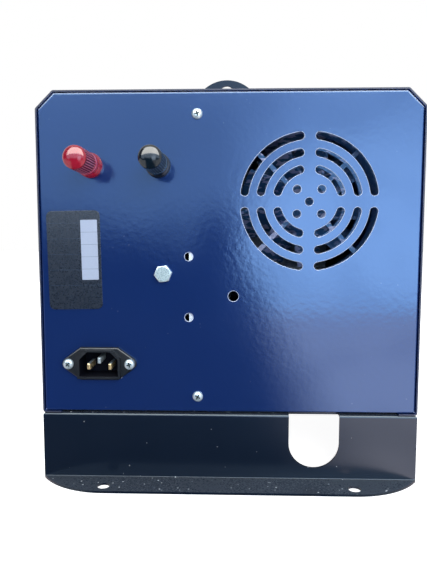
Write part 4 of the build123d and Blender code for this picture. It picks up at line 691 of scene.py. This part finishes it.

# %% [markdown]
# ## Binding posts
# Each post is a lacquered knob with a domed end, a barrel of fine ribs, and a collar below it. The outline
# is spun round the post's axis, and then every vertex of the barrel moves in or out with the angle to make
# the ribs: quicker than a boolean for each groove, and the mesh stays light.

# %% Outlines of a post
RIBS = 30
RIB_DEPTH = 0.55
KNOB_RADIUS = 7.0
POST_BORE = 3.25
COLLAR_HEIGHT = 3.6
POST_SEAT_Y = -206.8 * MM
KNOB_PROFILE = [(0.0, 32.0), (1.5, 31.9), (3.0, 31.62), (4.4, 31.16), (5.6, 30.55), (6.35, 29.95),
                (6.8, 29.3), (6.95, 28.7), (KNOB_RADIUS, 28.0), (KNOB_RADIUS, 18.0), (KNOB_RADIUS, 8.2),
                (6.95, 7.6),
                (6.4, 7.1), (6.3, 6.5), (6.7, 6.1), (6.95, 5.6), (6.95, 3.2), (6.6, 2.8), (6.5, 2.2),
                (6.7, 1.8), (6.98, 1.4), (6.98, 0.0), (POST_BORE, 0.0), (POST_BORE, 27.9), (0.0, 28.0)]
COLLAR_PROFILE = [(POST_BORE, 0.0), (7.1, 0.0), (7.5, 0.25), (7.6, 1.2), (7.25, 1.55), (7.25, 1.95),
                  (7.6, 2.3), (7.5, 3.2), (7.1, COLLAR_HEIGHT), (POST_BORE, COLLAR_HEIGHT), (POST_BORE, 0.0)]
print("a rib every", round(2 * pi * KNOB_RADIUS / RIBS, 2), "mm")

# %% [markdown]
# The ribs follow a cosine of the angle, cut off at both ends so that they get flat tops and floors. The same
# cosine then picks the faces on the tops for the paler finish, a painted highlight, and two turned rings get
# it as well. The other faces of the barrel get the painted shade.

# %% Post knobs and collars
def around(offset):
    """The angle of a point round the post."""
    return Vector((offset.x, offset.z)).angle_signed(Vector((1, 0)))


def press_ribs(knob, centre):
    for vert in knob.verts:
        offset = vert.co - centre
        if offset.xz.length > 6.9 * MM and 7.9 < -offset.y / MM < 29.0:
            groove = min(1.0, max(0.0, 0.6 + 1.2 * cos(RIBS * around(offset))))
            dip = 1 - RIB_DEPTH / KNOB_RADIUS * groove
            vert.co = centre + Vector((offset.x * dip, offset.y, offset.z * dip))


def make_post(color, mount):
    centre = Vector((origins[mount].x, POST_SEAT_Y, origins[mount].z))
    knob = bmesh.new()
    spin_profile(knob, KNOB_PROFILE, centre, (0, -1, 0), (1, 0, 0), RIBS * 6)
    press_ribs(knob, centre)
    piece = keep_piece(color + "_post_knob_piece", knob, color + "_post_knob", smooth=32.0)
    piece.data.materials.append(finishes[color + "_barrel"])
    piece.data.materials.append(finishes[color + "_ridge"])
    # rib tops and two turned rings get the painted highlight, the rest of the barrel the painted shade
    for face in piece.data.polygons:
        offset = face.center - centre
        along = -offset.y / MM
        if offset.xz.length > 5 * MM and 8.0 < along < 28.9:
            face.material_index = 2 if cos(RIBS * around(offset)) < -0.4 else 1
        elif 7.1 < along < 7.8 or 5.5 < along < 6.2:
            face.material_index = 2
    collar = bmesh.new()
    seat = centre + Vector((0, COLLAR_HEIGHT * MM, 0))
    spin_profile(collar, COLLAR_PROFILE, seat, (0, -1, 0), (1, 0, 0), 64)
    keep_piece(color + "_post_collar_piece", collar, color + "_post_collar")


make_post("red", "positive_post")
make_post("black", "negative_post")

# %% [markdown]
# A bush keeps each post off the steel panel. The outer bush of the red post is red as well. In the solids
# all the bushes are one node, so its faces are picked by where they lie.

# %% Post bushes
BETWEEN_POSTS_X = -66.0 * MM
BUSH_SEAT_Y = -199.1 * MM


def is_red_bush(face):
    return face.center.x < BETWEEN_POSTS_X and face.center.y < BUSH_SEAT_Y


paint_faces(soften("post_bushes", 0.3), "gloss_red_plastic", is_red_bush)

# %% [markdown]
# ## Cross-recess screws
# A pan head is a low, round spun outline with the shank below it. All the screws on the case are alike, so
# one is made upright at the origin.

# %% One plain screw
HEAD_D = 6.9
HEAD_H = 2.4
SHANK_D = 3.5
SHANK_LENGTH = 9.5


def plain_screw():
    r = HEAD_D / 2
    profile = [(0, HEAD_H), (r * 0.5, HEAD_H * 0.97), (r * 0.78, HEAD_H * 0.82), (r * 0.94, HEAD_H * 0.55),
               (r, HEAD_H * 0.22), (r * 0.98, 0), (SHANK_D / 2, 0), (SHANK_D / 2, 1 - SHANK_LENGTH),
               (0.4, -SHANK_LENGTH), (0, -SHANK_LENGTH)]
    bm = bmesh.new()
    spin_profile(bm, profile, Vector(), (0, 0, 1), (1, 0, 0), 48)
    bmesh.ops.recalc_face_normals(bm, faces=bm.faces)
    return to_mesh("screw", bm)


screw_blank = plain_screw()
print("a plain screw has", len(screw_blank.polygons), "faces")

# %% [markdown]
# The recess is cut by two crossed blades that taper to the tip, as on the driver. A Boolean modifier cuts
# it and is baked at once, and the faces it leaves get a painted shade, the dark tone of a deep slot.

# %% Cross recess
def crossed_blades():
    bm = bmesh.new()
    for turn in (0, pi / 2):
        blade = bmesh.ops.create_cube(bm, size=1.0)["verts"]
        for vert in blade:
            low = vert.co.z < 0
            vert.co.x *= (0.26 if low else 0.62) * HEAD_D * MM
            vert.co.y *= (0.09 if low else 0.15) * HEAD_D * MM
            vert.co.z = (0.30 if low else 1.3) * HEAD_H * MM
        bmesh.ops.rotate(bm, verts=blade, cent=(0, 0, 0), matrix=Matrix.Rotation(turn, 3, "Z"))
    return to_mesh("cutter", bm)


body = put_in_scene("screw_body", screw_blank)
tool = put_in_scene("screw_tool", crossed_blades())
cut = body.modifiers.new("recess", "BOOLEAN")
cut.operation = "DIFFERENCE"
cut.solver = "EXACT"
cut.use_self = True
cut.object = tool
sheet_screw = baked(body)
bpy.data.objects.remove(tool)
# faces inside the recess get the painted shade
for face in sheet_screw.polygons:
    sunk = 0 < face.center.z < 0.95 * HEAD_H * MM and face.center.xy.length < 0.27 * HEAD_D * MM
    face.material_index = int(sunk)
print("a finished screw has", len(sheet_screw.polygons), "faces")

# %% [markdown]
# The finished screw is stamped wherever one is needed. All the screws of a CAD node become one piece, and
# each is turned by its own angle, as a hand leaves them.

# %% Stamp screws
TURN_TO = {"-Y": Matrix.Rotation(pi / 2, 4, "X"), "+Y": Matrix.Rotation(-pi / 2, 4, "X"),
           "-Z": Matrix.Rotation(pi, 4, "X"), "+Z": Matrix.Identity(4)}


def stamp_screws(node, places):
    """Places are (x, y, z, way the head looks, turn about its own axis in degrees)."""
    bm = bmesh.new()
    for x, y, z, way, turn in places:
        before = set(bm.verts)
        bm.from_mesh(sheet_screw)
        fresh = [vert for vert in bm.verts if vert not in before]
        turned = TURN_TO[way] @ Matrix.Rotation(radians(turn), 4, "Z")
        bmesh.ops.transform(bm, matrix=Matrix.Translation(Vector((x, y, z)) * MM) @ turned, verts=fresh)
    piece = keep_piece(node + "_piece", bm, node, smooth=30.0)
    piece.data.materials.append(finishes["recess_shade"])


print("ways a head can look:", ", ".join(TURN_TO))

# %% [markdown]
# Two screws hold each end panel. The others come up through the floor of the base: along its sides, behind
# its flanges, under the tank and under the heater. The inlet has two, 40 mm apart as on every such inlet,
# and each lug of the handle is screwed to the roof by two.

# %% Screws on the object
PANEL_SCREWS = [(-1, 237.4, "-Y", 14), (-1, 56.3, "-Y", 58), (1, 237.4, "+Y", 30), (1, 56.3, "+Y", 75)]
PANEL_SCREW_X = -20.1
PANEL_SEAT = 199.2
UNDERSIDE_Z = 43.2
INLET_SEAT_Y = -202.2
LUG_TOP_Z = 255.0

tank_x = CAP_AXIS.x / MM
heater_x = HEATER_AXIS.x / MM
base_places = [(side * 116.2, y) for side in (-1, 1) for y in (-160.0, 41.5, 175.0)]
base_places += [(0.0, -192.2), (0.0, 192.2), (-8.6, 60.0)]
base_places += [(tank_x + side * 45.2, y) for side in (-1, 1) for y in (58.0, 150.0)]
base_places += [(heater_x + side * 44.0, y) for side in (-1, 1) for y in (-70.0, 28.0)]
lug_places = [(HANDLE_AXIS.x / MM + side * 15.0, y) for side in (-1, 1) for y in (-121.5, 99.5)]
case_places = [(PANEL_SCREW_X, end * PANEL_SEAT, z, way, turn) for end, z, way, turn in PANEL_SCREWS]
case_places += [(x, y, UNDERSIDE_Z, "-Z", 23 * index) for index, (x, y) in enumerate(base_places)]
stamp_screws("case_screws", case_places)
stamp_screws("mains_inlet_screws", [(INLET.x / MM + aside, INLET_SEAT_Y, INLET.z / MM, "-Y", turn)
                                    for aside, turn in ((-20.0, 40), (20.0, 12))])
stamp_screws("handle_lug_screws", [(x, y, LUG_TOP_Z, "+Z", 20 + 35 * index)
                                   for index, (x, y) in enumerate(lug_places)])

# %% [markdown]
# ## Grip and fuel cap
# The grip is a rubber sleeve with rounded ribs, so its outline is a row of waves spun round the handle's bar.

# %% Handle grip
GRIP_CENTRE = Vector((HANDLE_AXIS.x + 75.0 * MM, HANDLE_AXIS.y, 263.8 * MM))
GRIP_HALF = 60.0
GRIP_BORE = 3.5
GRIP_RIBS = 17
PLAIN_END = 7.0
RIB_WAVE = ((0.08, 9.7), (0.22, 9.7), (0.34, 10.6), (0.5, 10.95), (0.76, 10.95), (0.92, 10.6))


def grip_outline():
    end = [(GRIP_BORE, GRIP_HALF), (8.6, GRIP_HALF), (10.2, GRIP_HALF - 0.7), (10.9, GRIP_HALF - 2.2),
           (10.9, GRIP_HALF - 5.5)]
    points = [(radius, -along) for radius, along in end]
    pitch = 2 * (GRIP_HALF - PLAIN_END) / GRIP_RIBS
    for rib in range(GRIP_RIBS):
        start = PLAIN_END - GRIP_HALF + rib * pitch
        points += [(radius, start + pitch * share) for share, radius in RIB_WAVE]
    return points + end[::-1] + points[:1]


grip = bmesh.new()
spin_profile(grip, grip_outline(), GRIP_CENTRE, (0, 1, 0), (1, 0, 0), 40)
keep_piece("handle_grip_piece", grip, "handle_grip")

# %% [markdown]
# The fuel cap is turned by hand, so its skirt is scalloped. As with the ribs of the knobs, every vertex of
# the skirt moves in with the angle.

# %% Fuel cap
CAP_CENTRE = Vector((CAP_AXIS.x, CAP_AXIS.y, ROOF_Z + 3.0 * MM))
SCALLOPS = 18
SCALLOP_SHARE = 1.3 / 28.0
CAP_PROFILE = [(22.5, 0.0), (27.4, 0.0), (27.9, 0.5), (27.9, 17.6), (27.3, 19.0), (26.0, 20.0), (24.5, 20.4),
               (22.2, 20.5), (21.6, 20.1), (21.2, 19.2), (20.6, 18.8), (0.0, 18.8), (0.0, 16.0), (22.5, 16.0),
               (22.5, 0.0)]

cap = bmesh.new()
spin_profile(cap, CAP_PROFILE, CAP_CENTRE, (0, 0, 1), (1, 0, 0), SCALLOPS * 8)
for vert in cap.verts:
    offset = vert.co - CAP_CENTRE
    if offset.xy.length > 26.5 * MM:
        angle = offset.xy.angle_signed(Vector((1, 0)))
        dip = 1 - SCALLOP_SHARE * max(0.0, cos(SCALLOPS * angle)) ** 0.7
        vert.co = CAP_CENTRE + Vector((offset.x * dip, offset.y * dip, offset.z))
keep_piece("fuel_cap_piece", cap, "fuel_cap", smooth=40.0)

# %% [markdown]
# A raised bar across the cap gives fingers a hold. It is a rounded block that lies on the cap. One helper
# makes it and the pale strip of the rating plate further down.

# %% Bar on the cap
def rounded_block(size, radius, place, along=None):
    """A bevelled block, in millimetres. With along, only the edges along that axis are rounded."""
    bm = bmesh.new()
    bmesh.ops.create_cube(bm, size=1.0)
    edges = [edge for edge in bm.edges
             if along is None or abs(edge.verts[0].co[along] - edge.verts[1].co[along]) > 0.5]
    bmesh.ops.scale(bm, vec=Vector(size) * MM, verts=bm.verts)
    bmesh.ops.bevel(bm, geom=edges, offset=radius * MM, segments=3, affect="EDGES", profile=0.5, material=-1)
    bmesh.ops.translate(bm, vec=Vector(place) * MM, verts=bm.verts)
    return bm


bar = rounded_block((36.0, 7.0, 3.0), 1.2, (0, 0, 18.9))
bmesh.ops.translate(bar, vec=CAP_CENTRE, verts=bar.verts)
keep_piece("fuel_cap_bar", bar, "fuel_cap", replaced=False)

# %% [markdown]
# A rubber grommet closes the gap between the tank's neck and the hole in the roof. It is one outline spun
# round the neck: a sleeve in the hole and a soft lip on the roof.

# %% Filler grommet
NECK = 22.15
HOLE = 24.8
SLEEVE = -5.5
GROMMET_PROFILE = [(NECK, SLEEVE), (HOLE, SLEEVE), (HOLE, 0.0), (28.4, 0.0), (29.0, 0.4), (28.9, 1.3),
                   (28.2, 1.9), (27.0, 2.0), (23.2, 2.0), (22.4, 1.7), (NECK, 1.1), (NECK, SLEEVE)]

grommet = bmesh.new()
spin_profile(grommet, GROMMET_PROFILE, Vector((CAP_AXIS.x, CAP_AXIS.y, ROOF_Z)), (0, 0, 1), (1, 0, 0), 72)
keep_piece("filler_grommet_piece", grommet, "filler_grommet")

# %% [markdown]
# ## Control panel
# The display shows a temperature in plain seven-segment digits. Segments are thin raised bars with round
# ends. Each has its usual letter, a place and a turn, and a digit is the string of its letters.

# %% Display digits
PANEL_FACE_Y = 202.2
PRINT = 0.06
DISPLAY_X = -58.0
DISPLAY_Z = 196.0
DIGIT_PITCH = 12.0
DIGIT_SIZE = 7.0
SEGMENTS = {"a": (0, 1, 0), "b": (0.5, 0.5, 90), "c": (0.5, -0.5, 90), "d": (0, -1, 0), "e": (-0.5, -0.5, 90),
            "f": (-0.5, 0.5, 90), "g": (0, 0, 0)}
DIGIT_SEGMENTS = {"2": "abged", "0": "abcdef"}


def add_bar(bm, x, z, length, width, turn, top_y):
    """A bar on a face that looks to +Y. Turn is in degrees in the plane of the face."""
    verts = bmesh.ops.create_cube(bm, size=1.0)["verts"]
    edges = list({edge for vert in verts for edge in vert.link_edges
                  if abs(edge.verts[0].co.y - edge.verts[1].co.y) > 0.5})
    bmesh.ops.scale(bm, vec=Vector((length, 2 * PRINT, width)) * MM, verts=verts)
    bevelled = bmesh.ops.bevel(bm, geom=edges, offset=width * 0.45 * MM, segments=3, affect="EDGES",
                               profile=0.5, material=-1)
    verts = {vert for face in bevelled["faces"] for vert in face.verts} | {v for v in verts if v.is_valid}
    verts = list(verts)
    bmesh.ops.rotate(bm, verts=verts, cent=(0, 0, 0), matrix=Matrix.Rotation(radians(turn), 3, "Y"))
    bmesh.ops.translate(bm, vec=Vector((x, top_y, z)) * MM, verts=verts)


digits = bmesh.new()
for place, digit in enumerate("20"):
    # the panel is read from +Y, where X runs to the left
    middle = DISPLAY_X + DIGIT_PITCH / 2 - place * DIGIT_PITCH
    for across, up, turn in (SEGMENTS[letter] for letter in DIGIT_SEGMENTS[digit]):
        add_bar(digits, middle - across * DIGIT_SIZE, DISPLAY_Z + up * DIGIT_SIZE, 5.8, 1.1, turn,
                PANEL_FACE_Y)
keep_piece("display_digits", digits, "display_window", "segment_print", replaced=False)
soften("display_window", 0.2)

# %% [markdown]
# A button is a spun outline with a shallow dish for the fingertip. In the dish sits a generic mark: a plus,
# a minus, or for power a bar in a ring with a gap. The ring is a small square section in a partial spin.

# %% Buttons
BUTTON_X = -100.0
BUTTON_PROFILE = [(0.0, 0.95), (2.2, 1.0), (3.6, 1.12), (4.1, 1.2), (4.4, 1.05), (4.5, 0.7), (4.5, -3.0),
                  (5.1, -3.0), (5.1, -4.0), (0.0, -4.0)]
MARK_Y = PANEL_FACE_Y + 1.02
RING_SECTION = ((1.55, -PRINT), (2.1, -PRINT), (2.1, PRINT), (1.55, PRINT))


def add_ring(mark, centre):
    rim = [mark.verts.new(centre + Vector((0, along, radius)) * MM) for radius, along in RING_SECTION]
    section = mark.faces.new(rim)
    bmesh.ops.rotate(mark, verts=rim, cent=centre, matrix=Matrix.Rotation(radians(32), 3, "Y"))
    bmesh.ops.spin(mark, geom=[section], cent=centre, axis=(0, 1, 0), angle=radians(296), steps=28)


def make_button(key, z, bars, ring=False):
    """Bars are (height above the middle, length, turn)."""
    node = key + "_button"
    body = bmesh.new()
    spin_profile(body, BUTTON_PROFILE, Vector((BUTTON_X, PANEL_FACE_Y, z)) * MM, (0, 1, 0), (1, 0, 0), 48)
    keep_piece(node + "_piece", body, node)
    mark = bmesh.new()
    for up, length, turn in bars:
        add_bar(mark, BUTTON_X, z + up, length, 0.55, turn, MARK_Y)
    if ring:
        add_ring(mark, Vector((BUTTON_X, MARK_Y, z)) * MM)
    keep_piece(node + "_mark", mark, node, "symbol_print", replaced=False)


make_button("power", 209.0, [(1.3, 2.0, 90)], ring=True)
make_button("warmer", 196.0, [(0.0, 3.6, 0), (0.0, 3.6, 90)])
make_button("cooler", 183.0, [(0.0, 3.6, 0)])

# %% [markdown]
# ## The pale strip on the plate
# The printed data strip is a lighter film laid on the plate. It is a thin sheet with rounded corners, and
# it leans with the plate.

# %% Plate strip
strip = rounded_block((10.8, 0.08, 38.6), 0.5, (10.1, -0.03, 6.6), along=1)
bmesh.ops.rotate(strip, verts=strip.verts, cent=(0, 0, 0), matrix=Matrix.Rotation(-PLATE_LEAN, 3, "Y"))
bmesh.ops.translate(strip, vec=PLATE_CENTRE, verts=strip.verts)
keep_piece("plate_strip", strip, "rating_plate", "plate_strip", replaced=False)

# %% [markdown]
# ## Floor, backdrop and light
# The picture's ground is white, and glossy paint shows what stands in front of it. So the floor and a card
# behind the camera carry light that only mirrors see. Both materials need the same facts about the ray that
# arrives: where it lands, what kind it is, how straight it runs, and where along Y it began.

# %% Helpers for staging
WHITE = (1.0, 1.0, 1.0, 1.0)
ALMOST_ALONG_Y = (0.54, 0.42)
STANDS_OUT_Y = (-0.206, -0.216)


def ray_facts(tree):
    rays = outputs_of(new_node(tree, "LightPath"))
    geometry = outputs_of(new_node(tree, "NewGeometry"))
    point = outputs_of(new_node(tree, "TexCoord"))["Object"]
    x, y, z = split(point)
    way = split(geometry["Incoming"])
    return {"point": point, "x": x, "y": y, "z": z, "mirror": rays["Is Glossy Ray"],
            "camera": rays["Is Camera Ray"], "below": geometry["Backfacing"],
            "straight": ramp(abs(way[0]), *ALMOST_ALONG_Y), "began_y": y + way[1] * rays["Ray Length"]}


def clouds(point, scale):
    """A factor a little under 1 in places, because no real backdrop is even."""
    return ramp(noise(point, scale, 1.0), 0.50, 0.62, 1.03, 0.86)


def emission(tree, color, strength):
    return Wire(new_node(tree, "Emission", Color=color, Strength=strength).outputs[0])


def join_shaders(kind, *values):
    """Add Shader takes two shaders, Mix Shader a share and two shaders."""
    node = new_node(values[0].tree, kind)
    for socket, value in zip(node.inputs, values):
        feed(socket, value)
    return Wire(node.outputs[0])


print("staging helpers are ready")

# %% [markdown]
# The lower third of the panel mirrors the floor. A bright patch with faint clouds, to the right, gives it
# the pale field of the photograph. Only rays that run almost along Y find the patch, and what stands out
# from the panel mirrors less of it. Beside the case and behind it, mirrors find plain white.

# %% Floor in mirrors
floor = bmesh.new()
bmesh.ops.create_grid(floor, x_segments=1, y_segments=1, size=6.0)
floor_obj = put_in_scene("floor", to_mesh("floor", floor))
floor_shader = start_finish("floor", Roughness=0.9, Base_Color=(0.80, 0.80, 0.80, 1.0),
                            Specular_IOR_Level=0.0)[0]
floor_obj.data.materials.append(finishes["floor"])
ground = floor_shader.id_data
here = ray_facts(ground)
patch = ramp(here["x"], 0.033, 0.123, 0.03, 3.5) * ramp(here["y"], -0.195, -0.2) * here["straight"]
from_panel = ramp(here["began_y"], *STANDS_OUT_Y, 1.0, 0.0)
patch = patch * clouds(here["point"], 9.0) * ramp(from_panel, 0.0, 1.0, 0.2, 1.0)
away = ramp(here["y"], -0.23, 0.10).math("MAXIMUM", 1.0 - here["straight"])
mirrored = patch.math("MAXIMUM", away) * here["mirror"]
tint = mix_colors(here["mirror"] * from_panel, WHITE, (1.0, 0.87, 0.92, 1.0))
print("the floor is", round(floor_obj.dimensions.x, 1), "m wide")

# %% [markdown]
# To the camera the floor is an even white, a little more so right under the case, which all but takes the
# shadow away: in the photograph the ground is cut out. Mirrors don't see its matte surface. From below the
# floor is clear, so that the underside can be looked at.

# %% Floor in the camera's eye
FLOOR_WHITE = 0.86

beneath = ramp(abs(here["x"]), 0.13, 0.12) * ramp(abs(here["y"]), 0.205, 0.200, FLOOR_WHITE, 0.95)
direct = here["camera"] * beneath.math("MAXIMUM", FLOOR_WHITE)
matte = Wire(floor_shader.outputs[0])
matte = join_shaders("MixShader", here["mirror"], matte, emission(ground, WHITE, 0.0))
lit = join_shaders("AddShader", matte, emission(ground, tint, mirrored + direct))
clear = Wire(new_node(ground, "BsdfTransparent").outputs[0])
feed_all(ground.nodes["Material Output"], Surface=join_shaders("MixShader", here["below"], lit, clear))
print("floor staged with", len(ground.nodes), "nodes")

# %% [markdown]
# The world is white to the camera. Mirrors see it grow from dark at the lower left to white at the upper
# right, and all white behind the case. On the solids themselves it gives a plain, soft light.

# %% World
world = bpy.data.worlds.new("studio")
bpy.context.scene.world = world
world.use_nodes = True
sky = world.node_tree
rays = outputs_of(new_node(sky, "LightPath"))
x, y, z = split(outputs_of(new_node(sky, "TexCoord"))["Generated"])
upper_right = ramp(x * 0.8 + z * 0.9, -0.1, 0.6, 0.03, 1.0)
in_mirrors = rays["Is Glossy Ray"] * upper_right.math("MAXIMUM", ramp(y, -0.3, 0.3))
plain_light = (1.0 - rays["Is Glossy Ray"]) * 0.45
seen = rays["Is Camera Ray"].math("MAXIMUM", rays["Is Transmission Ray"])
feed_all(sky.nodes["Background"], Color=WHITE, Strength=(in_mirrors + plain_light).math("MAXIMUM", seen))
print("the world has", len(sky.nodes), "nodes")

# %% [markdown]
# Three soft panels light the case from behind the camera, from above and from the front. Mirrors don't see
# them, because a lamp's hard outline would stand in the paint as a bright rectangle.

# %% Lamps
def soft_panel(name, place, aim, width, height, watts, color=(1.0, 1.0, 1.0)):
    lamp = bpy.data.lights.new(name, "AREA")
    lamp.shape = "RECTANGLE"
    lamp.size = width
    lamp.size_y = height
    lamp.energy = watts
    lamp.color = color
    obj = put_in_scene(name, lamp)
    obj.location = place
    obj.rotation_euler = (Vector(aim) - Vector(place)).to_track_quat("-Z", "Y").to_euler()
    obj.visible_camera = False
    obj.visible_glossy = False


soft_panel("rear_light", (0.35, -1.10, 0.55), (0.0, -0.1, 0.15), 0.8, 0.7, 8.5, (0.92, 0.96, 1.0))
soft_panel("top_panel", (-0.1, 0.25, 1.4), (0.0, 0.1, 0.1), 1.2, 1.0, 14.0)
soft_panel("front_light", (-0.45, 1.3, 0.6), (0.0, 0.1, 0.15), 0.9, 0.8, 14.0)
print("lamps:", len(bpy.data.lights))

# %% [markdown]
# ## Reflector card
# A large card stands behind the camera, as in a studio. Only mirrors see it. Above a cloudy border, which
# lies a little higher in the middle, it glows evenly, and that is the pale sheen on the upper panel.

# %% Card and its sheen
card = bmesh.new()
bmesh.ops.create_grid(card, x_segments=1, y_segments=1, size=1.0)
bmesh.ops.rotate(card, verts=card.verts, cent=(0, 0, 0), matrix=Matrix.Rotation(pi / 2, 3, "X"))
bmesh.ops.scale(card, vec=(1.1, 1.0, 1.10), verts=card.verts)
bmesh.ops.translate(card, vec=(0.0, -0.95, 1.11), verts=card.verts)
card_obj = put_in_scene("reflector_card", to_mesh("reflector_card", card))
card_obj.visible_camera = False
card_obj.visible_diffuse = False
card_obj.visible_shadow = False
card_tree = start_finish("reflector_card")[0].id_data
card_obj.data.materials.append(finishes["reflector_card"])
there = ray_facts(card_tree)
drift = (noise(there["point"], 3.2) - 0.5) * 0.35
notch = ramp(abs(there["x"]), 0.09, 0.03, 0.0, -0.065)
sheen = ramp(there["z"] + drift + notch, 0.115, 0.235, 0.0, 2.02)
print("the card is", round(card_obj.dimensions.x, 1), "m wide")

# %% [markdown]
# The right part of the card is far brighter, because the paint in the photograph is palest on its right half.
# Its border leans, and blurs towards the top. What stands out from the panel mirrors less of it. The flat
# panel mirrors only the lower 0.45 m of the card. A bright band above that puts highlights on the rounded
# ends and edges of what stands at the rear.

# %% Bright field and band
slant = (there["z"] - 0.05) * -0.14
blur = ramp(there["z"], 0.20, 0.42, 1.0, 4.2)
inward = (there["x"] + drift + slant - 0.08).math("DIVIDE", blur)
field = ramp(inward, -0.05, 0.05) * there["straight"]
field = field * ramp(there["began_y"], *STANDS_OUT_Y, 1.0, 0.4)
beam = ramp(abs(there["z"] - 0.17), 0.05, 0.30, 7.4, 4.6) * clouds(there["point"], 14.0)
band = ramp(there["z"], 0.47, 0.56) * ramp(there["began_y"], -0.17, -0.19)
shown = mix_colors(band, (0.63, 0.79, 1.0, 1.0), (0.98, 0.97, 0.92, 1.0))
feed_all(card_tree.nodes["Material Output"],
         Surface=emission(card_tree, shown, sheen + field * (beam - sheen) + band * 8.0))
print("card staged with", len(card_tree.nodes), "nodes")

# %% [markdown]
# ## Colour
# The Standard view transform shows the tones as they were matched.

# %% Colour
bpy.context.scene.view_settings.view_transform = "Standard"
